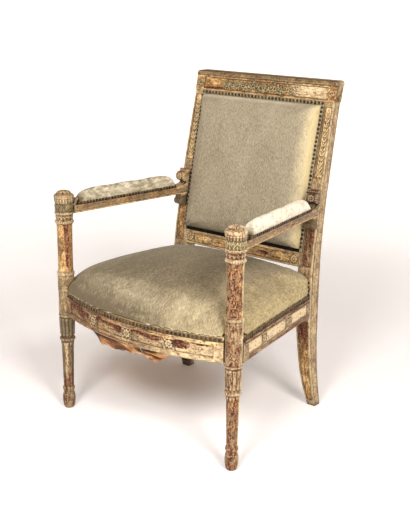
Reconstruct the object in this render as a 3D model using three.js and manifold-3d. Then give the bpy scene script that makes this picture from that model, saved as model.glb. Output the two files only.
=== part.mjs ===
// An open armchair of painted and gilded wood, with a stuffed seat, back and arm pads.
// Lengths are millimetres. The chair faces -Y, +X is at the right hand of someone facing it, +Z is up.
// While it is made, the origin lies on the floor midway between the two front posts.
import * as THREE from 'three';
import { mergeVertices } from 'three/addons/utils/BufferGeometryUtils.js';
import Module from 'manifold-3d';

const wasm = await Module();
wasm.setup();

// Fits
const clearance = 0.3; // between two pieces that touch
const overrun = 12; // how far a cutter runs past the piece it cuts
const weldDistance = 1e-4; // vertices nearer than this are one
const crowdingShare = 2 / 3; // how strongly crowded stations lean towards the edges

// Front posts: a leg and an arm support turned in one piece
const postOffset = 300; // from the middle of the chair to the axis of a post
const postJointRadius = 22.4; // the plain stretch that takes the seat rails
const postRingRadius = 27; // the widest ring under the arm
const postCapHeight = 67; // from the underside of the arm to the top of the cap
const postFacets = 16;
// Pairs of height and radius, the radius as a share of the ring's
const legTurningShares = [
  [0, 0.46], [0.027, 0.57], [0.086, 0.67], [0.155, 0.63], [0.182, 0.575], [0.2, 0.66], [0.22, 0.66],
  [0.24, 0.545], [0.43, 0.58], [0.57, 0.62], [0.7, 0.645], [0.72, 0.7], [0.735, 0.82], [0.755, 0.82],
  [0.777, 0.725], [0.85, 0.765], [0.965, 0.79], [0.975, 0.87], [0.99, 0.87],
]; // heights as a share of the rail's underside
const supportTurningShares = [
  [0.1, 0.865], [0.19, 0.87], [0.22, 0.925], [0.25, 0.925], [0.27, 0.796], [0.5, 0.778], [0.74, 0.815],
  [0.87, 0.82], [0.9, 0.955], [0.93, 0.955], [0.95, 0.87], [0.99, 0.875],
]; // heights as a share of the way from the rail's top to the arm's underside
const capTurningShares = [
  [0.03, 1], [0.1, 1], [0.15, 0.935], [0.53, 0.935], [0.68, 1.03], [0.8, 1.045], [0.87, 0.96], [0.94, 0.6],
]; // heights as a share of the cap's

// Seat rails
const railBottom = 291;
const railHeight = 56; // the part that shows
const rabbetHeight = 13; // above it, where the seat cover is nailed
const rabbetDepth = 6;
const railThickness = 30;
const railBow = 57; // how far the front rail's middle stands before its ends
const railEndInset = 15; // from the posts' axes in to the ends of the measured bow
const railEndSetback = 15; // from the posts' axes forward to the front rail's ends
const sideRailFrontOut = 17; // from a post's axis out to the side rail's outer face
const sideRailRearInset = 1; // from a rear leg's outer face to the side rail's
const sideRailThickness = 28;
const backRailSetback = 4; // from the rear legs' back faces to the back rail's
const frontBlockOffset = 137; // between the carved blocks of the front rail
const frontBlockWidth = 34;
const railTopFillet = 11;
const railBottomFillet = 15;
const railPanelDepth = 3;
const sidePanelShares = [[0.08, 0.27], [0.33, 0.62], [0.71, 0.96]]; // of the side rail's length

// Rear legs: each a sabre leg and a raked stile sawn in one piece
const chairHeight = 951;
const legSeatY = 418; // the front of the leg where it stands furthest forward
const legRake = 110; // how far back the top lies behind that
const legDepth = 45;
const legInner = 206.5; // from the middle of the chair to the inner face
const footTaper = 22.5; // how much narrower the foot is, on its inner side
const legWidth = 49.5;
const stileTaper = 10; // how much the outer face leans in at the top
const legHeightShares = [0, 0.05, 0.1, 0.2, 0.305, 0.41, 0.5, 0.62, 0.76, 0.88, 1]; // of the chair's height
// Shares of the rake, of the depth and of the two tapers at those heights
const legFrontShares = [0.445, 0.318, 0.218, 0.073, 0.009, 0.009, 0.082, 0.272, 0.51, 0.75, 1];
const legDepthShares = [0.62, 0.71, 0.76, 0.88, 0.99, 1, 0.93, 0.78, 0.77, 0.73, 0.67];
const footTaperShares = [1, 0.69, 0.45, 0.25, 0.04, 0, 0, 0, 0, 0, 0];
const stileTaperShares = [0, 0, 0, 0, 0, 0.07, 0.21, 0.4, 0.62, 0.81, 1];
const legSteps = 24;
const stilePanelDepth = 3;
const stilePanelFillet = 6;
const stilePanelLap = 4.6; // from the row of back nails to the upper panels
const legPanelShares = [0.02, 0.29]; // heights of the three panels, of the chair's height
const lowPanelShares = [0.51, 0.585];
const highPanelShares = [0.72, 0.925];
const legPanelSteps = 6;

// Crest rail and lower back rail
const crestHeight = 58;
const crestLipHeight = 21; // the part below, behind the back's upholstery
const crestOverhang = 3; // past the stiles on each side
const crestMouldingHeight = 13;
const crestMouldingReach = 3;
const crestCornerRadius = 9;
const crestBlockWidth = 28; // the carved block at each end of the panel
const crestPanelFillet = 6;
const crestPanelDepth = 3;
const lowerRailBottom = 433;
const lowerRailHeight = 41;

// Arms, each with the console that meets the stile
const armBottom = 583;
const armHeight = 24;
const armWidth = 34;
const armFilletHeight = 7; // the narrower moulding along the underside
const armFilletInset = 3;
const consoleReach = 52; // how far the console's foot runs along the arm
const consoleNeck = 15; // its reach under the upper roll
const upperRollRadius = 8;
const upperRollHeight = 66; // of the roll's middle above the arm's underside
const lowerRollRadius = 11.5;
const lowerRollDrop = 24; // of the roll's middle below the arm's underside
const rollReach = 10; // of both rolls' middles before the stile
const rollFacets = 16;
const consoleCurveSteps = 8;

// Tenons and the pegs that lock them
const tenonThickness = 10;
const railTenonDepth = 18; // into the front posts
const rearTenonDepth = 23; // into the rear legs
const tenonShoulder = 9; // rail left above and below a tenon
const crestTenonHeight = 32;
const crestTenonWidth = 24;
const armTenonDepth = 22;
const armTenonHeight = 12;
const consoleTenonDepth = 16;
const consoleTenonHeight = 44;
const consoleTenonThickness = 12;
const pegRadius = 3;
const pegFacets = 8;
const pegSink = 1.5; // of a peg's end below the surface
const pegHeightShare = 0.2; // of a rail tenon's height, from its edge to the peg
const pegGrip = 6; // how far a peg runs past the far side of its tenon

// Seat upholstery
const coverThickness = 1.8;
const seatWall = 27; // the upright side of the seat above the rails
const seatCrown = 86; // of the dome above that
const seatPowers = [2.6, 2.3]; // how flat the dome's top is and how full its shoulders are
const seatColumns = 18;
const seatRows = 14;
const cornerRounds = 8; // of the search for the seat's front corners
const postWrapRadius = 25.5; // of the notch that lets a post through the stuffing
const webbingThickness = 1.6;
const webbingWidth = 50;
const webbingRest = 8; // from a strap's end to the rabbet's face
const lengthwiseStrapShares = [-0.5, -0.17, 0.17, 0.5]; // middles, as shares of the posts' offset
const crosswiseStrapShares = [0.215, 0.49, 0.765]; // of the way back to the rear legs
const burlapThickness = 1.2;
const liningThickness = 0.9;
const liningInset = 5;
const gimpThickness = 1.4;
const gimpWidth = 9;

// What is left of a torn strip under the front rail
const flapThickness = 1.5;
const flapInset = 25; // from the rail's outer face to the flap
const flapDepth = 34; // of its longest rag
const flapLean = 10; // how far its lower edge swings in
const flapRows = 2;
// Pairs of a place along the rail, as a share of the posts' offset, and a share of the longest rag
const leftFlapShares = [
  [-0.53, 0.35], [-0.49, 0.6], [-0.44, 1], [-0.36, 0.85], [-0.27, 0.9], [-0.17, 0.7], [-0.07, 0.6],
  [0.02, 0.5], [0.1, 0.35],
];
const rightFlapShares = [[0.14, 0.4], [0.19, 0.55], [0.24, 0.8], [0.29, 0.75], [0.33, 0.5], [0.38, 0.2]];
// The tear's outline, as shares of the posts' offset and of the depth to the rear legs
const tearShares = [
  [-0.55, 0.05], [-0.3, 0.16], [-0.1, 0.1], [0.15, 0.22], [0.38, 0.08], [0.2, 0], [-0.4, 0],
];

// Back upholstery
const backArmGap = 1.5; // from the cover's edge to the consoles
const backFlange = 8.4; // the nailed edge beside the stuffed part
const backBottomGap = 2; // over the lower rail
const backTopLap = 1; // over the crest
const backTopFlange = 10;
const backDepth = 30; // of the stuffing before the frame
const backPowers = [8, 3]; // as the seat's, for a squared edge
const backStationShares = [1, 0.99, 0.97, 0.93, 0.86, 0.72, 0.54, 0.34, 0.12];
const backSheetThickness = 1.2;
const outsideLap = 15.5; // of the outside cover over the legs' inner faces
const outsideBottomLap = 36; // over the lower rail
const outsideTopLap = 7; // over the crest
const backSteps = 16;

// Arm pads
const padStart = 46; // from the post's axis along the arm
const padInset = 1.6; // from the arm's side to the pad's cover
const padCoverThickness = 1.4;
const padGimpThickness = 1.1;
const padGimpHeight = 6;
const padWall = 9;
const padCrown = 34;
const padAcrossPowers = [2.3, 2]; // as the seat's
const padAlongPowers = [7, 2.3];
const padAcrossShares = [1, 0.94, 0.74, 0.4, 0];
const padAlongShares = [1, 0.985, 0.95, 0.87, 0.65, 0.3];

// Sizes that follow from these
const railTop = railBottom + railHeight;
const rabbetTop = railTop + rabbetHeight;
const railMiddle = railBottom + railHeight / 2;
const armTop = armBottom + armHeight;
const armMiddle = armBottom + armHeight / 2;
const crestTop = chairHeight;
const crestBottom = crestTop - crestHeight;
const lowerRailTop = lowerRailBottom + lowerRailHeight;
const backBottom = lowerRailTop + backBottomGap;
const backTop = crestBottom + backTopLap;
const backStuffTop = backTop - backTopFlange;
const outsideHalfWidth = legInner + outsideLap;
const outsideBottom = lowerRailTop - outsideBottomLap;
const outsideTop = crestBottom + outsideTopLap;
const railBowHalfSpan = postOffset - railEndInset;
const railArcRadius = (railBowHalfSpan ** 2 + railBow ** 2) / (2 * railBow);
const railArcCentre = railArcRadius - railBow - railEndSetback;
const coverInset = rabbetDepth - clearance - coverThickness; // from the rail's face to the cover
const gimpOuter = coverInset - clearance - gimpThickness;
const webbingLow = rabbetTop + clearance + webbingThickness / 2;
const webbingHigh = webbingLow + webbingThickness + clearance;
const burlapBottom = webbingHigh + webbingThickness / 2 + clearance;
const stuffingBottom = burlapBottom + burlapThickness + clearance;
const postLength = armBottom + postCapHeight;

const legOuter = legInner + legWidth;
const sideRailRearX = legOuter - sideRailRearInset;

// Smooth lines of the rear leg against height
const legHeights = legHeightShares.map((share) => share * chairHeight);
function lineThrough(values) {
  const line = new THREE.CubicInterpolant(legHeights, values, 1);
  return (z) => line.evaluate(Math.min(Math.max(z, 0), chairHeight))[0];
}
const legFrontAt = lineThrough(legFrontShares.map((share) => legSeatY + share * legRake));
const legDepthAt = lineThrough(legDepthShares.map((share) => share * legDepth));
const legInnerAt = lineThrough(footTaperShares.map((share) => legInner + share * footTaper));
const legOuterAt = lineThrough(stileTaperShares.map((share) => legOuter - share * stileTaper));
const legBackAt = (z) => legFrontAt(z) + legDepthAt(z);
const backRailBack = legBackAt(railMiddle) - backRailSetback;
const backRailFront = backRailBack - railThickness;
const backHalfWidth = legOuterAt(armMiddle) - armWidth - backArmGap;
const backWallFoot = backHalfWidth - backFlange; // half the width of the stuffed part
const stilePanelInner = backHalfWidth + stilePanelLap;

// Solids from triangles and back
function welded(geometry) {
  const bare = geometry.clone();
  bare.deleteAttribute('normal');
  bare.deleteAttribute('uv');
  return mergeVertices(bare, weldDistance);
}

function solidOf(geometry) {
  const merged = welded(geometry);
  const corners = merged.index.array;
  const kept = [];
  for (let i = 0; i < corners.length; i += 3) {
    const [a, b, c] = [corners[i], corners[i + 1], corners[i + 2]];
    if (a !== b && b !== c && c !== a) kept.push(a, b, c);
  }
  return new wasm.Manifold(new wasm.Mesh({
    numProp: 3,
    vertProperties: new Float32Array(merged.attributes.position.array),
    triVerts: new Uint32Array(kept),
  }));
}

function geometryOf(solid) {
  const mesh = solid.getMesh();
  const geometry = new THREE.BufferGeometry();
  geometry.setAttribute('position', new THREE.BufferAttribute(new Float32Array(mesh.vertProperties), 3));
  geometry.setIndex(new THREE.BufferAttribute(new Uint32Array(mesh.triVerts), 1));
  return geometry;
}

const minus = (solid, ...tools) => tools.reduce((rest, tool) => rest.subtract(tool), solid);
const plus = (solid, ...others) => others.reduce((whole, other) => whole.add(other), solid);

// The same piece on the other side of the chair
function mirrored(geometry) {
  const copy = geometry.clone().scale(-1, 1, 1);
  const corners = copy.index.array;
  for (let i = 0; i < corners.length; i += 3) {
    [corners[i], corners[i + 1]] = [corners[i + 1], corners[i]];
  }
  return copy;
}

function fromTriangles(points) {
  const geometry = new THREE.BufferGeometry();
  geometry.setAttribute('position', new THREE.Float32BufferAttribute(points.flat(), 3));
  return geometry;
}

function addQuad(list, a, b, c, d) {
  list.push(a, b, c, a, c, d);
}

// A solid through a stack of rings that run anticlockwise seen from above
function stack(rings) {
  const list = [];
  const size = rings[0].length;
  for (let i = 0; i + 1 < rings.length; i += 1) {
    for (let k = 0; k < size; k += 1) {
      const next = (k + 1) % size;
      addQuad(list, rings[i][k], rings[i][next], rings[i + 1][next], rings[i + 1][k]);
    }
  }
  const [first, last] = [rings[0], rings[rings.length - 1]];
  for (let k = 1; k + 1 < size; k += 1) {
    list.push(first[0], first[k + 1], first[k]);
    list.push(last[0], last[k], last[k + 1]);
  }
  return solidOf(fromTriangles(list));
}

// A solid between two surfaces over the same grid of stations
function slab(top, bottom, us, vs) {
  const list = [];
  const [lastU, lastV] = [us.length - 1, vs.length - 1];
  for (let i = 0; i < lastU; i += 1) {
    for (let j = 0; j < lastV; j += 1) {
      const [u0, u1, v0, v1] = [us[i], us[i + 1], vs[j], vs[j + 1]];
      addQuad(list, top(u0, v0), top(u1, v0), top(u1, v1), top(u0, v1));
      addQuad(list, bottom(u0, v0), bottom(u0, v1), bottom(u1, v1), bottom(u1, v0));
    }
  }
  const side = (u0, v0, u1, v1) => addQuad(list, bottom(u0, v0), bottom(u1, v1), top(u1, v1), top(u0, v0));
  for (let i = 0; i < lastU; i += 1) {
    side(us[i], vs[0], us[i + 1], vs[0]);
    side(us[i + 1], vs[lastV], us[i], vs[lastV]);
  }
  for (let j = 0; j < lastV; j += 1) {
    side(us[lastU], vs[j], us[lastU], vs[j + 1]);
    side(us[0], vs[j + 1], us[0], vs[j]);
  }
  return solidOf(fromTriangles(list));
}

function evenStations(from, to, steps) {
  return Array.from({ length: steps + 1 }, (_, i) => from + (to - from) * i / steps);
}

// Stations from -1 to 1 that crowd towards both ends
function crowdedStations(steps) {
  return evenStations(-1, 1, steps).map(
    (t) => t + crowdingShare * (Math.sin(t * Math.PI / 2) - t),
  );
}

// Stations that mirror a list of shares about the middle
function mirroredStations(shares) {
  const ends = shares.filter((share) => share > 0);
  const middle = shares.includes(0) ? [0] : [];
  return [...ends.map((share) => -share), ...middle, ...ends.slice().reverse()];
}

// The height of a dome's section, 1 in the middle and 0 at the ends
const crownAt = (u, flat, full) => Math.max(0, 1 - Math.abs(u) ** flat) ** (1 / full);

function block(x0, x1, y0, y1, z0, z1) {
  const box = new THREE.BoxGeometry(x1 - x0, y1 - y0, z1 - z0);
  return solidOf(box.translate((x0 + x1) / 2, (y0 + y1) / 2, (z0 + z1) / 2));
}

function extruded(points, length) {
  const shape = new THREE.Shape(points.map(([x, y]) => new THREE.Vector2(x, y)));
  return new THREE.ExtrudeGeometry(shape, { depth: length, bevelEnabled: false });
}

// A plan outline raised from one height to another
function upright(points, z0, z1) {
  return solidOf(extruded(points, z1 - z0).translate(0, 0, z0));
}

// An outline of depth and height drawn out across the chair
function across(points, x0, x1) {
  const turn = new THREE.Matrix4().makeBasis(
    new THREE.Vector3(0, 1, 0), new THREE.Vector3(0, 0, 1), new THREE.Vector3(1, 0, 0),
  );
  return solidOf(extruded(points, x1 - x0).translate(0, 0, x0).applyMatrix4(turn));
}

function uprightCylinder(x, y, radius, z0, z1, facets) {
  const cylinder = new THREE.CylinderGeometry(radius, radius, z1 - z0, facets).rotateX(Math.PI / 2);
  return solidOf(cylinder.translate(x, y, (z0 + z1) / 2));
}

// A straight line in plan, with places so far along it and so far out to its right
function planLine([x0, y0], [x1, y1]) {
  const length = Math.hypot(x1 - x0, y1 - y0);
  const [ax, ay] = [(x1 - x0) / length, (y1 - y0) / length];
  const point = (s, n) => [x0 + ax * s + ay * n, y0 + ay * s - ax * n];
  const bar = (s0, s1, n0, n1, z0, z1) => upright(
    [point(s0, n0), point(s0, n1), point(s1, n1), point(s1, n0)], z0, z1,
  );
  return { length, ax, ay, x0, y0, point, bar };
}

const sideLine = planLine(
  [postOffset + sideRailFrontOut, sideRailFrontOut], [sideRailRearX, legSeatY],
);
const armRearX = legOuterAt(armMiddle) - armWidth / 2;
const armLine = planLine([postOffset, 0], [armRearX, legFrontAt(armMiddle)]);
const padEnd = armLine.length - consoleReach;

// Pegs: the bore is a hair wider and opens at one end
function pegPair(axis, first, second, from, to, opensAt) {
  const make = (radius, a, b) => {
    const rod = new THREE.CylinderGeometry(radius, radius, b - a, pegFacets);
    const middle = (a + b) / 2;
    if (axis === 'x') return solidOf(rod.rotateZ(Math.PI / 2).translate(middle, first, second));
    return solidOf(rod.translate(first, middle, second));
  };
  const low = from - (opensAt === 'low' ? overrun : clearance);
  const high = to + (opensAt === 'high' ? overrun : clearance);
  return { peg: make(pegRadius, from, to), bore: make(pegRadius + clearance, low, high) };
}

// Front post, with a cutter of the same form a little larger
function postProfile(grow) {
  const support = armBottom - rabbetTop;
  const points = [
    ...legTurningShares.map(([h, r]) => [h * railBottom, r * postRingRadius]),
    [railBottom, postJointRadius],
    [rabbetTop, postJointRadius],
    ...supportTurningShares.map(([h, r]) => [rabbetTop + h * support, r * postRingRadius]),
    ...capTurningShares.map(([h, r]) => [armBottom + h * postCapHeight, r * postRingRadius]),
  ];
  const outline = points.map(([z, r]) => new THREE.Vector2(r + grow, z));
  return [new THREE.Vector2(0, 0), ...outline, new THREE.Vector2(0, postLength)];
}

function postSolid(grow) {
  const turned = new THREE.LatheGeometry(postProfile(grow), postFacets).rotateX(Math.PI / 2);
  return solidOf(turned.translate(postOffset, 0, 0));
}

// Rear leg: slices between two heights whose faces come from a function
function legSlices(from, to, steps, facesAt) {
  return stack(evenStations(from, to, steps).map((z) => {
    const [inner, outer, front, back] = facesAt(z);
    return [[inner, front, z], [outer, front, z], [outer, back, z], [inner, back, z]];
  }));
}

function legSolid(grow, top) {
  return legSlices(0, top, legSteps, (z) => [
    legInnerAt(z) - grow, legOuterAt(z) + grow, legFrontAt(z) - grow, legBackAt(z) + grow,
  ]);
}

function legPanel([from, to], innerAt) {
  return legSlices(from * chairHeight, to * chairHeight, legPanelSteps, (z) => [
    innerAt(z), legOuterAt(z) - stilePanelFillet, legFrontAt(z) - overrun, legFrontAt(z) + stilePanelDepth,
  ]);
}

// Everything that lies behind the front face of a stile, as a cutter for what meets it
function behindStile(from, to) {
  return legSlices(from, to, legSteps, (z) => [
    legInnerAt(z) - armWidth, legOuterAt(z) + armWidth, legFrontAt(z) - clearance, legBackAt(z) + legDepth,
  ]);
}

// Tenons of the right-hand side, grown by the clearance where they are cutters
const tenonBottom = railBottom + tenonShoulder;
const tenonTop = railTop - tenonShoulder;
const half = tenonThickness / 2;

const frontTenon = (g) => block(
  postOffset - postJointRadius - overrun, postOffset - postJointRadius + railTenonDepth + g,
  -half - g, half + g, tenonBottom - g, tenonTop + g,
);
const sideFrontTenon = (g) => block(
  postOffset + half - clearance - g, postOffset + half - clearance + tenonThickness + g,
  postJointRadius - railTenonDepth + clearance - g, postJointRadius + overrun,
  tenonBottom - g, tenonTop + g,
);
const sideRearTenon = (g) => block(
  sideRailRearX - sideRailThickness / 2 - half - g, sideRailRearX - sideRailThickness / 2 + half + g,
  legSeatY - overrun, legSeatY + rearTenonDepth + g, tenonBottom - g, tenonTop + g,
);
const backTenonMiddle = backRailBack - railThickness / 2;
const backTenon = (g) => block(
  legInner - overrun, legInner + rearTenonDepth + g,
  backTenonMiddle + clearance - g, backTenonMiddle + clearance + tenonThickness + g,
  tenonBottom - g, tenonTop + g,
);
const lowerRailMiddle = (lowerRailBottom + lowerRailTop) / 2;
const lowerTenonY = legFrontAt(lowerRailMiddle) + legDepthAt(lowerRailMiddle) / 2;
const lowerTenon = (g) => block(
  legInner - overrun, legInner + rearTenonDepth + g, lowerTenonY - half - g, lowerTenonY + half + g,
  lowerRailBottom + tenonShoulder - g, lowerRailTop - tenonShoulder + g,
);
const crestTenonX = (legInnerAt(crestBottom) + legOuterAt(crestBottom)) / 2;
const crestTenonY = legFrontAt(crestBottom) + legDepthAt(crestBottom) / 2;
const crestTenon = (g) => block(
  crestTenonX - crestTenonWidth / 2 - g, crestTenonX + crestTenonWidth / 2 + g,
  crestTenonY - half - g, crestTenonY + half + g,
  crestBottom - overrun, crestBottom + crestTenonHeight + g,
);
const armTenonReach = postRingRadius - armTenonDepth;
const armFrontTenon = (g) => armLine.bar(
  armTenonReach - g, postRingRadius + overrun, -half - g, half + g,
  armMiddle - armTenonHeight / 2 - g, armMiddle + armTenonHeight / 2 + g,
);
const consoleTenonMiddle = armTop;
const armRearTenon = (g) => armLine.bar(
  armLine.length - overrun, armLine.length + consoleTenonDepth + g,
  -consoleTenonThickness / 2 - g, consoleTenonThickness / 2 + g,
  consoleTenonMiddle - consoleTenonHeight / 2 - g, consoleTenonMiddle + consoleTenonHeight / 2 + g,
);

// Pegs of the right-hand side
const postPegX = postOffset - postJointRadius + railTenonDepth / 2;
const pegReachAt = (off) => Math.sqrt(postJointRadius ** 2 - (off + pegRadius) ** 2) - pegSink;
const postPegReach = pegReachAt(postOffset - postPegX);
const sidePegY = postJointRadius - railTenonDepth / 2 + clearance;
const sidePegReach = pegReachAt(sidePegY);
const pegInset = pegRadius + clearance + (tenonTop - tenonBottom) * pegHeightShare;
const lowPegZ = tenonBottom + pegInset;
const highPegZ = tenonTop - pegInset;
const rearPegY = legSeatY + rearTenonDepth / 2;
const backPegX = legInner + rearTenonDepth / 2;
const sideTenonX = sideRailRearX - sideRailThickness / 2;
const crestPegZ = crestBottom + crestTenonHeight / 2;
const armPegY = armLine.point((armTenonReach + postRingRadius) / 2, 0)[1];
const armPegX = armLine.point((armTenonReach + postRingRadius) / 2, 0)[0];
const consolePegPlace = armLine.point(armLine.length + consoleTenonDepth / 2, 0);
const pegs = {
  post_front_rail: pegPair('y', postPegX, lowPegZ, -half - pegGrip, postPegReach, 'high'),
  post_side_rail: pegPair(
    'x', sidePegY, highPegZ, postOffset - pegGrip / 2, postOffset + sidePegReach, 'high',
  ),
  leg_side_rail: pegPair(
    'x', rearPegY, highPegZ, legInnerAt(highPegZ) + pegSink, sideTenonX + half + pegGrip / 2, 'low',
  ),
  leg_back_rail: pegPair(
    'y', backPegX, lowPegZ, backTenonMiddle - pegGrip / 2, legBackAt(lowPegZ) - pegSink, 'high',
  ),
  crest: pegPair(
    'y', crestTenonX, crestPegZ, crestTenonY - half - pegGrip / 2, legBackAt(crestPegZ) - pegSink, 'high',
  ),
  lower_back_rail: pegPair(
    'y', backPegX, lowerRailMiddle, lowerTenonY - half - pegGrip / 2, legBackAt(lowerRailMiddle) - pegSink,
    'high',
  ),
  arm_front: pegPair(
    'x', armPegY, armMiddle, armPegX - postRingRadius + pegSink + pegGrip / 2, armPegX + half + pegGrip / 2,
    'low',
  ),
  arm_rear: pegPair(
    'x', consolePegPlace[1], consoleTenonMiddle, legInnerAt(armTop) + pegSink,
    consolePegPlace[0] + consoleTenonThickness / 2 + pegGrip / 2, 'low',
  ),
};

function frontPost() {
  return minus(
    postSolid(0), frontTenon(clearance), sideFrontTenon(clearance), armFrontTenon(clearance),
    pegs.post_front_rail.bore, pegs.post_side_rail.bore, pegs.arm_front.bore,
  );
}

function rearLeg() {
  const shaft = plus(legSolid(0, crestBottom - clearance), crestTenon(0));
  return minus(
    shaft,
    legPanel(legPanelShares, (z) => legInnerAt(z) + stilePanelFillet),
    legPanel(lowPanelShares, () => stilePanelInner),
    legPanel(highPanelShares, () => stilePanelInner),
    sideRearTenon(clearance), backTenon(clearance), lowerTenon(clearance), armRearTenon(clearance),
    pegs.leg_side_rail.bore, pegs.leg_back_rail.bore, pegs.crest.bore, pegs.lower_back_rail.bore,
    pegs.arm_rear.bore,
  );
}

// Both hands of a solid of the right-hand side
function flipped(solid) {
  return solidOf(mirrored(geometryOf(solid)));
}
const bothSides = (solid) => [solid, flipped(solid)];

// Front rail: a bowed band with panels sunk between carved blocks
function arcBand(outer, inner, from, to, steps) {
  const place = (radius, angle) => [radius * Math.sin(angle), railArcCentre - radius * Math.cos(angle)];
  const angles = evenStations(from, to, steps);
  return [
    ...angles.map((angle) => place(outer, angle)),
    ...angles.slice().reverse().map((angle) => place(inner, angle)),
  ];
}
const arcAngle = (x) => Math.asin(x / railArcRadius);
const arcSteps = 24;
const panelSteps = 6;

function frontRail() {
  const end = arcAngle(postOffset);
  const inner = railArcRadius - railThickness;
  const face = upright(arcBand(railArcRadius, inner, -end, end, arcSteps), railBottom, railTop);
  const rabbet = upright(
    arcBand(railArcRadius - rabbetDepth, inner, -end, end, arcSteps), railTop - overrun, rabbetTop,
  );
  const panel = (x0, x1) => upright(
    arcBand(railArcRadius + overrun, railArcRadius - railPanelDepth, arcAngle(x0), arcAngle(x1), panelSteps),
    railBottom + railBottomFillet, railTop - railTopFillet,
  );
  const blockHalf = frontBlockWidth / 2;
  const outerEnd = postOffset - postJointRadius - blockHalf;
  const panels = [
    panel(-outerEnd, -frontBlockOffset - blockHalf), panel(-frontBlockOffset + blockHalf, -blockHalf),
    panel(blockHalf, frontBlockOffset - blockHalf), panel(frontBlockOffset + blockHalf, outerEnd),
  ];
  const round = (side) => uprightCylinder(
    side * postOffset, 0, postJointRadius + clearance, railBottom - overrun, rabbetTop + overrun, postFacets,
  );
  const band = minus(plus(face, rabbet), ...panels, round(-1), round(1));
  return minus(plus(band, ...bothSides(frontTenon(0))), ...bothSides(pegs.post_front_rail.bore));
}

function sideRail() {
  const end = sideLine.length + overrun;
  const face = sideLine.bar(-overrun, end, -sideRailThickness, 0, railBottom, railTop);
  const rabbet = sideLine.bar(-overrun, end, -sideRailThickness, -rabbetDepth, railTop - overrun, rabbetTop);
  const panels = sidePanelShares.map(([from, to]) => sideLine.bar(
    from * sideLine.length, to * sideLine.length, -railPanelDepth, overrun,
    railBottom + railBottomFillet, railTop - railTopFillet,
  ));
  const round = uprightCylinder(
    postOffset, 0, postJointRadius + clearance, railBottom - overrun, rabbetTop + overrun, postFacets,
  );
  const before = block(
    0, postOffset + postRingRadius * 2, -postRingRadius * 2, postJointRadius / 2,
    railBottom - overrun, rabbetTop + overrun,
  );
  const behind = behindStile(railBottom - overrun, rabbetTop + overrun);
  const bar = minus(plus(face, rabbet), ...panels, round, before, behind);
  const whole = plus(bar, sideFrontTenon(0), sideRearTenon(0));
  return minus(whole, pegs.post_side_rail.bore, pegs.leg_side_rail.bore);
}

function backRail() {
  const end = legInner - clearance;
  const body = block(-end, end, backRailFront, backRailBack, railBottom, railTop);
  const rabbet = block(-end, end, backRailFront, backRailBack - rabbetDepth, railTop - overrun, rabbetTop);
  return minus(plus(body, rabbet, ...bothSides(backTenon(0))), ...bothSides(pegs.leg_back_rail.bore));
}

function crestRail() {
  const reach = legOuterAt(crestTop) + crestOverhang;
  const mouldingBottom = crestTop - crestMouldingHeight;
  const body = across([
    [legFrontAt(crestBottom), crestBottom], [legBackAt(crestBottom), crestBottom],
    [legBackAt(crestTop), crestTop], [legFrontAt(crestTop), crestTop],
  ], -reach + crestOverhang, reach - crestOverhang);
  const moulding = across([
    [legFrontAt(mouldingBottom) - crestMouldingReach, mouldingBottom],
    [legBackAt(mouldingBottom) + crestMouldingReach, mouldingBottom],
    [legBackAt(crestTop) + crestMouldingReach, crestTop],
    [legFrontAt(crestTop) - crestMouldingReach, crestTop],
  ], -reach, reach);
  const lip = across([
    [legFrontAt(crestBottom - crestLipHeight), crestBottom - crestLipHeight],
    [legBackAt(crestBottom - crestLipHeight), crestBottom - crestLipHeight],
    [legBackAt(crestBottom + overrun), crestBottom + overrun],
    [legFrontAt(crestBottom + overrun), crestBottom + overrun],
  ], -legInner + clearance, legInner - clearance);
  const panelBottom = crestBottom + crestPanelFillet;
  const panelTop = mouldingBottom - crestPanelFillet;
  const panelEnd = reach - crestOverhang - crestBlockWidth;
  const panel = across([
    [legFrontAt(panelBottom) - overrun, panelBottom],
    [legFrontAt(panelBottom) + crestPanelDepth, panelBottom],
    [legFrontAt(panelTop) + crestPanelDepth, panelTop],
    [legFrontAt(panelTop) - overrun, panelTop],
  ], -panelEnd, panelEnd);
  const corner = across([
    [legFrontAt(crestTop) - overrun, crestTop - crestCornerRadius],
    [legBackAt(crestTop) + overrun, crestTop - crestCornerRadius],
    [legBackAt(crestTop) + overrun, crestTop + overrun],
    [legFrontAt(crestTop) - overrun, crestTop + overrun],
  ], reach - crestCornerRadius, reach + overrun);
  const roundEnd = new THREE.CylinderGeometry(
    crestCornerRadius, crestCornerRadius, legDepth * 2, rollFacets,
  ).translate(reach - crestCornerRadius, crestTenonY, crestTop - crestCornerRadius);
  const cornerCut = corner.subtract(solidOf(roundEnd));
  const shaped = minus(plus(body, moulding, lip), panel, ...bothSides(cornerCut));
  return minus(shaped, ...bothSides(crestTenon(clearance)), ...bothSides(pegs.crest.bore));
}

function lowerBackRail() {
  const end = legInner - clearance;
  const body = across([
    [legFrontAt(lowerRailBottom), lowerRailBottom], [legBackAt(lowerRailBottom), lowerRailBottom],
    [legBackAt(lowerRailTop), lowerRailTop], [legFrontAt(lowerRailTop), lowerRailTop],
  ], -end, end);
  return minus(plus(body, ...bothSides(lowerTenon(0))), ...bothSides(pegs.lower_back_rail.bore));
}

// How fast the stile falls back with height where the console meets it
const armRakeHeight = armHeight + upperRollHeight;
const armRake = (legFrontAt(armBottom + armRakeHeight) - legFrontAt(armBottom)) / armRakeHeight;

// An outline of reach along the arm and height, drawn out across the arm
function alongArm(geometry) {
  return solidOf(geometry.applyMatrix4(new THREE.Matrix4().makeBasis(
    new THREE.Vector3(armLine.ax, armLine.ay, 0), new THREE.Vector3(0, 0, 1),
    new THREE.Vector3(armLine.ay, -armLine.ax, 0),
  ).setPosition(armLine.x0, armLine.y0, 0)));
}

function armRoll(radius, z) {
  const roll = new THREE.CylinderGeometry(radius, radius, armWidth, rollFacets).rotateX(Math.PI / 2);
  return alongArm(roll.translate(armLine.length - rollReach + (z - armMiddle) * armRake, z, 0));
}

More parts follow.
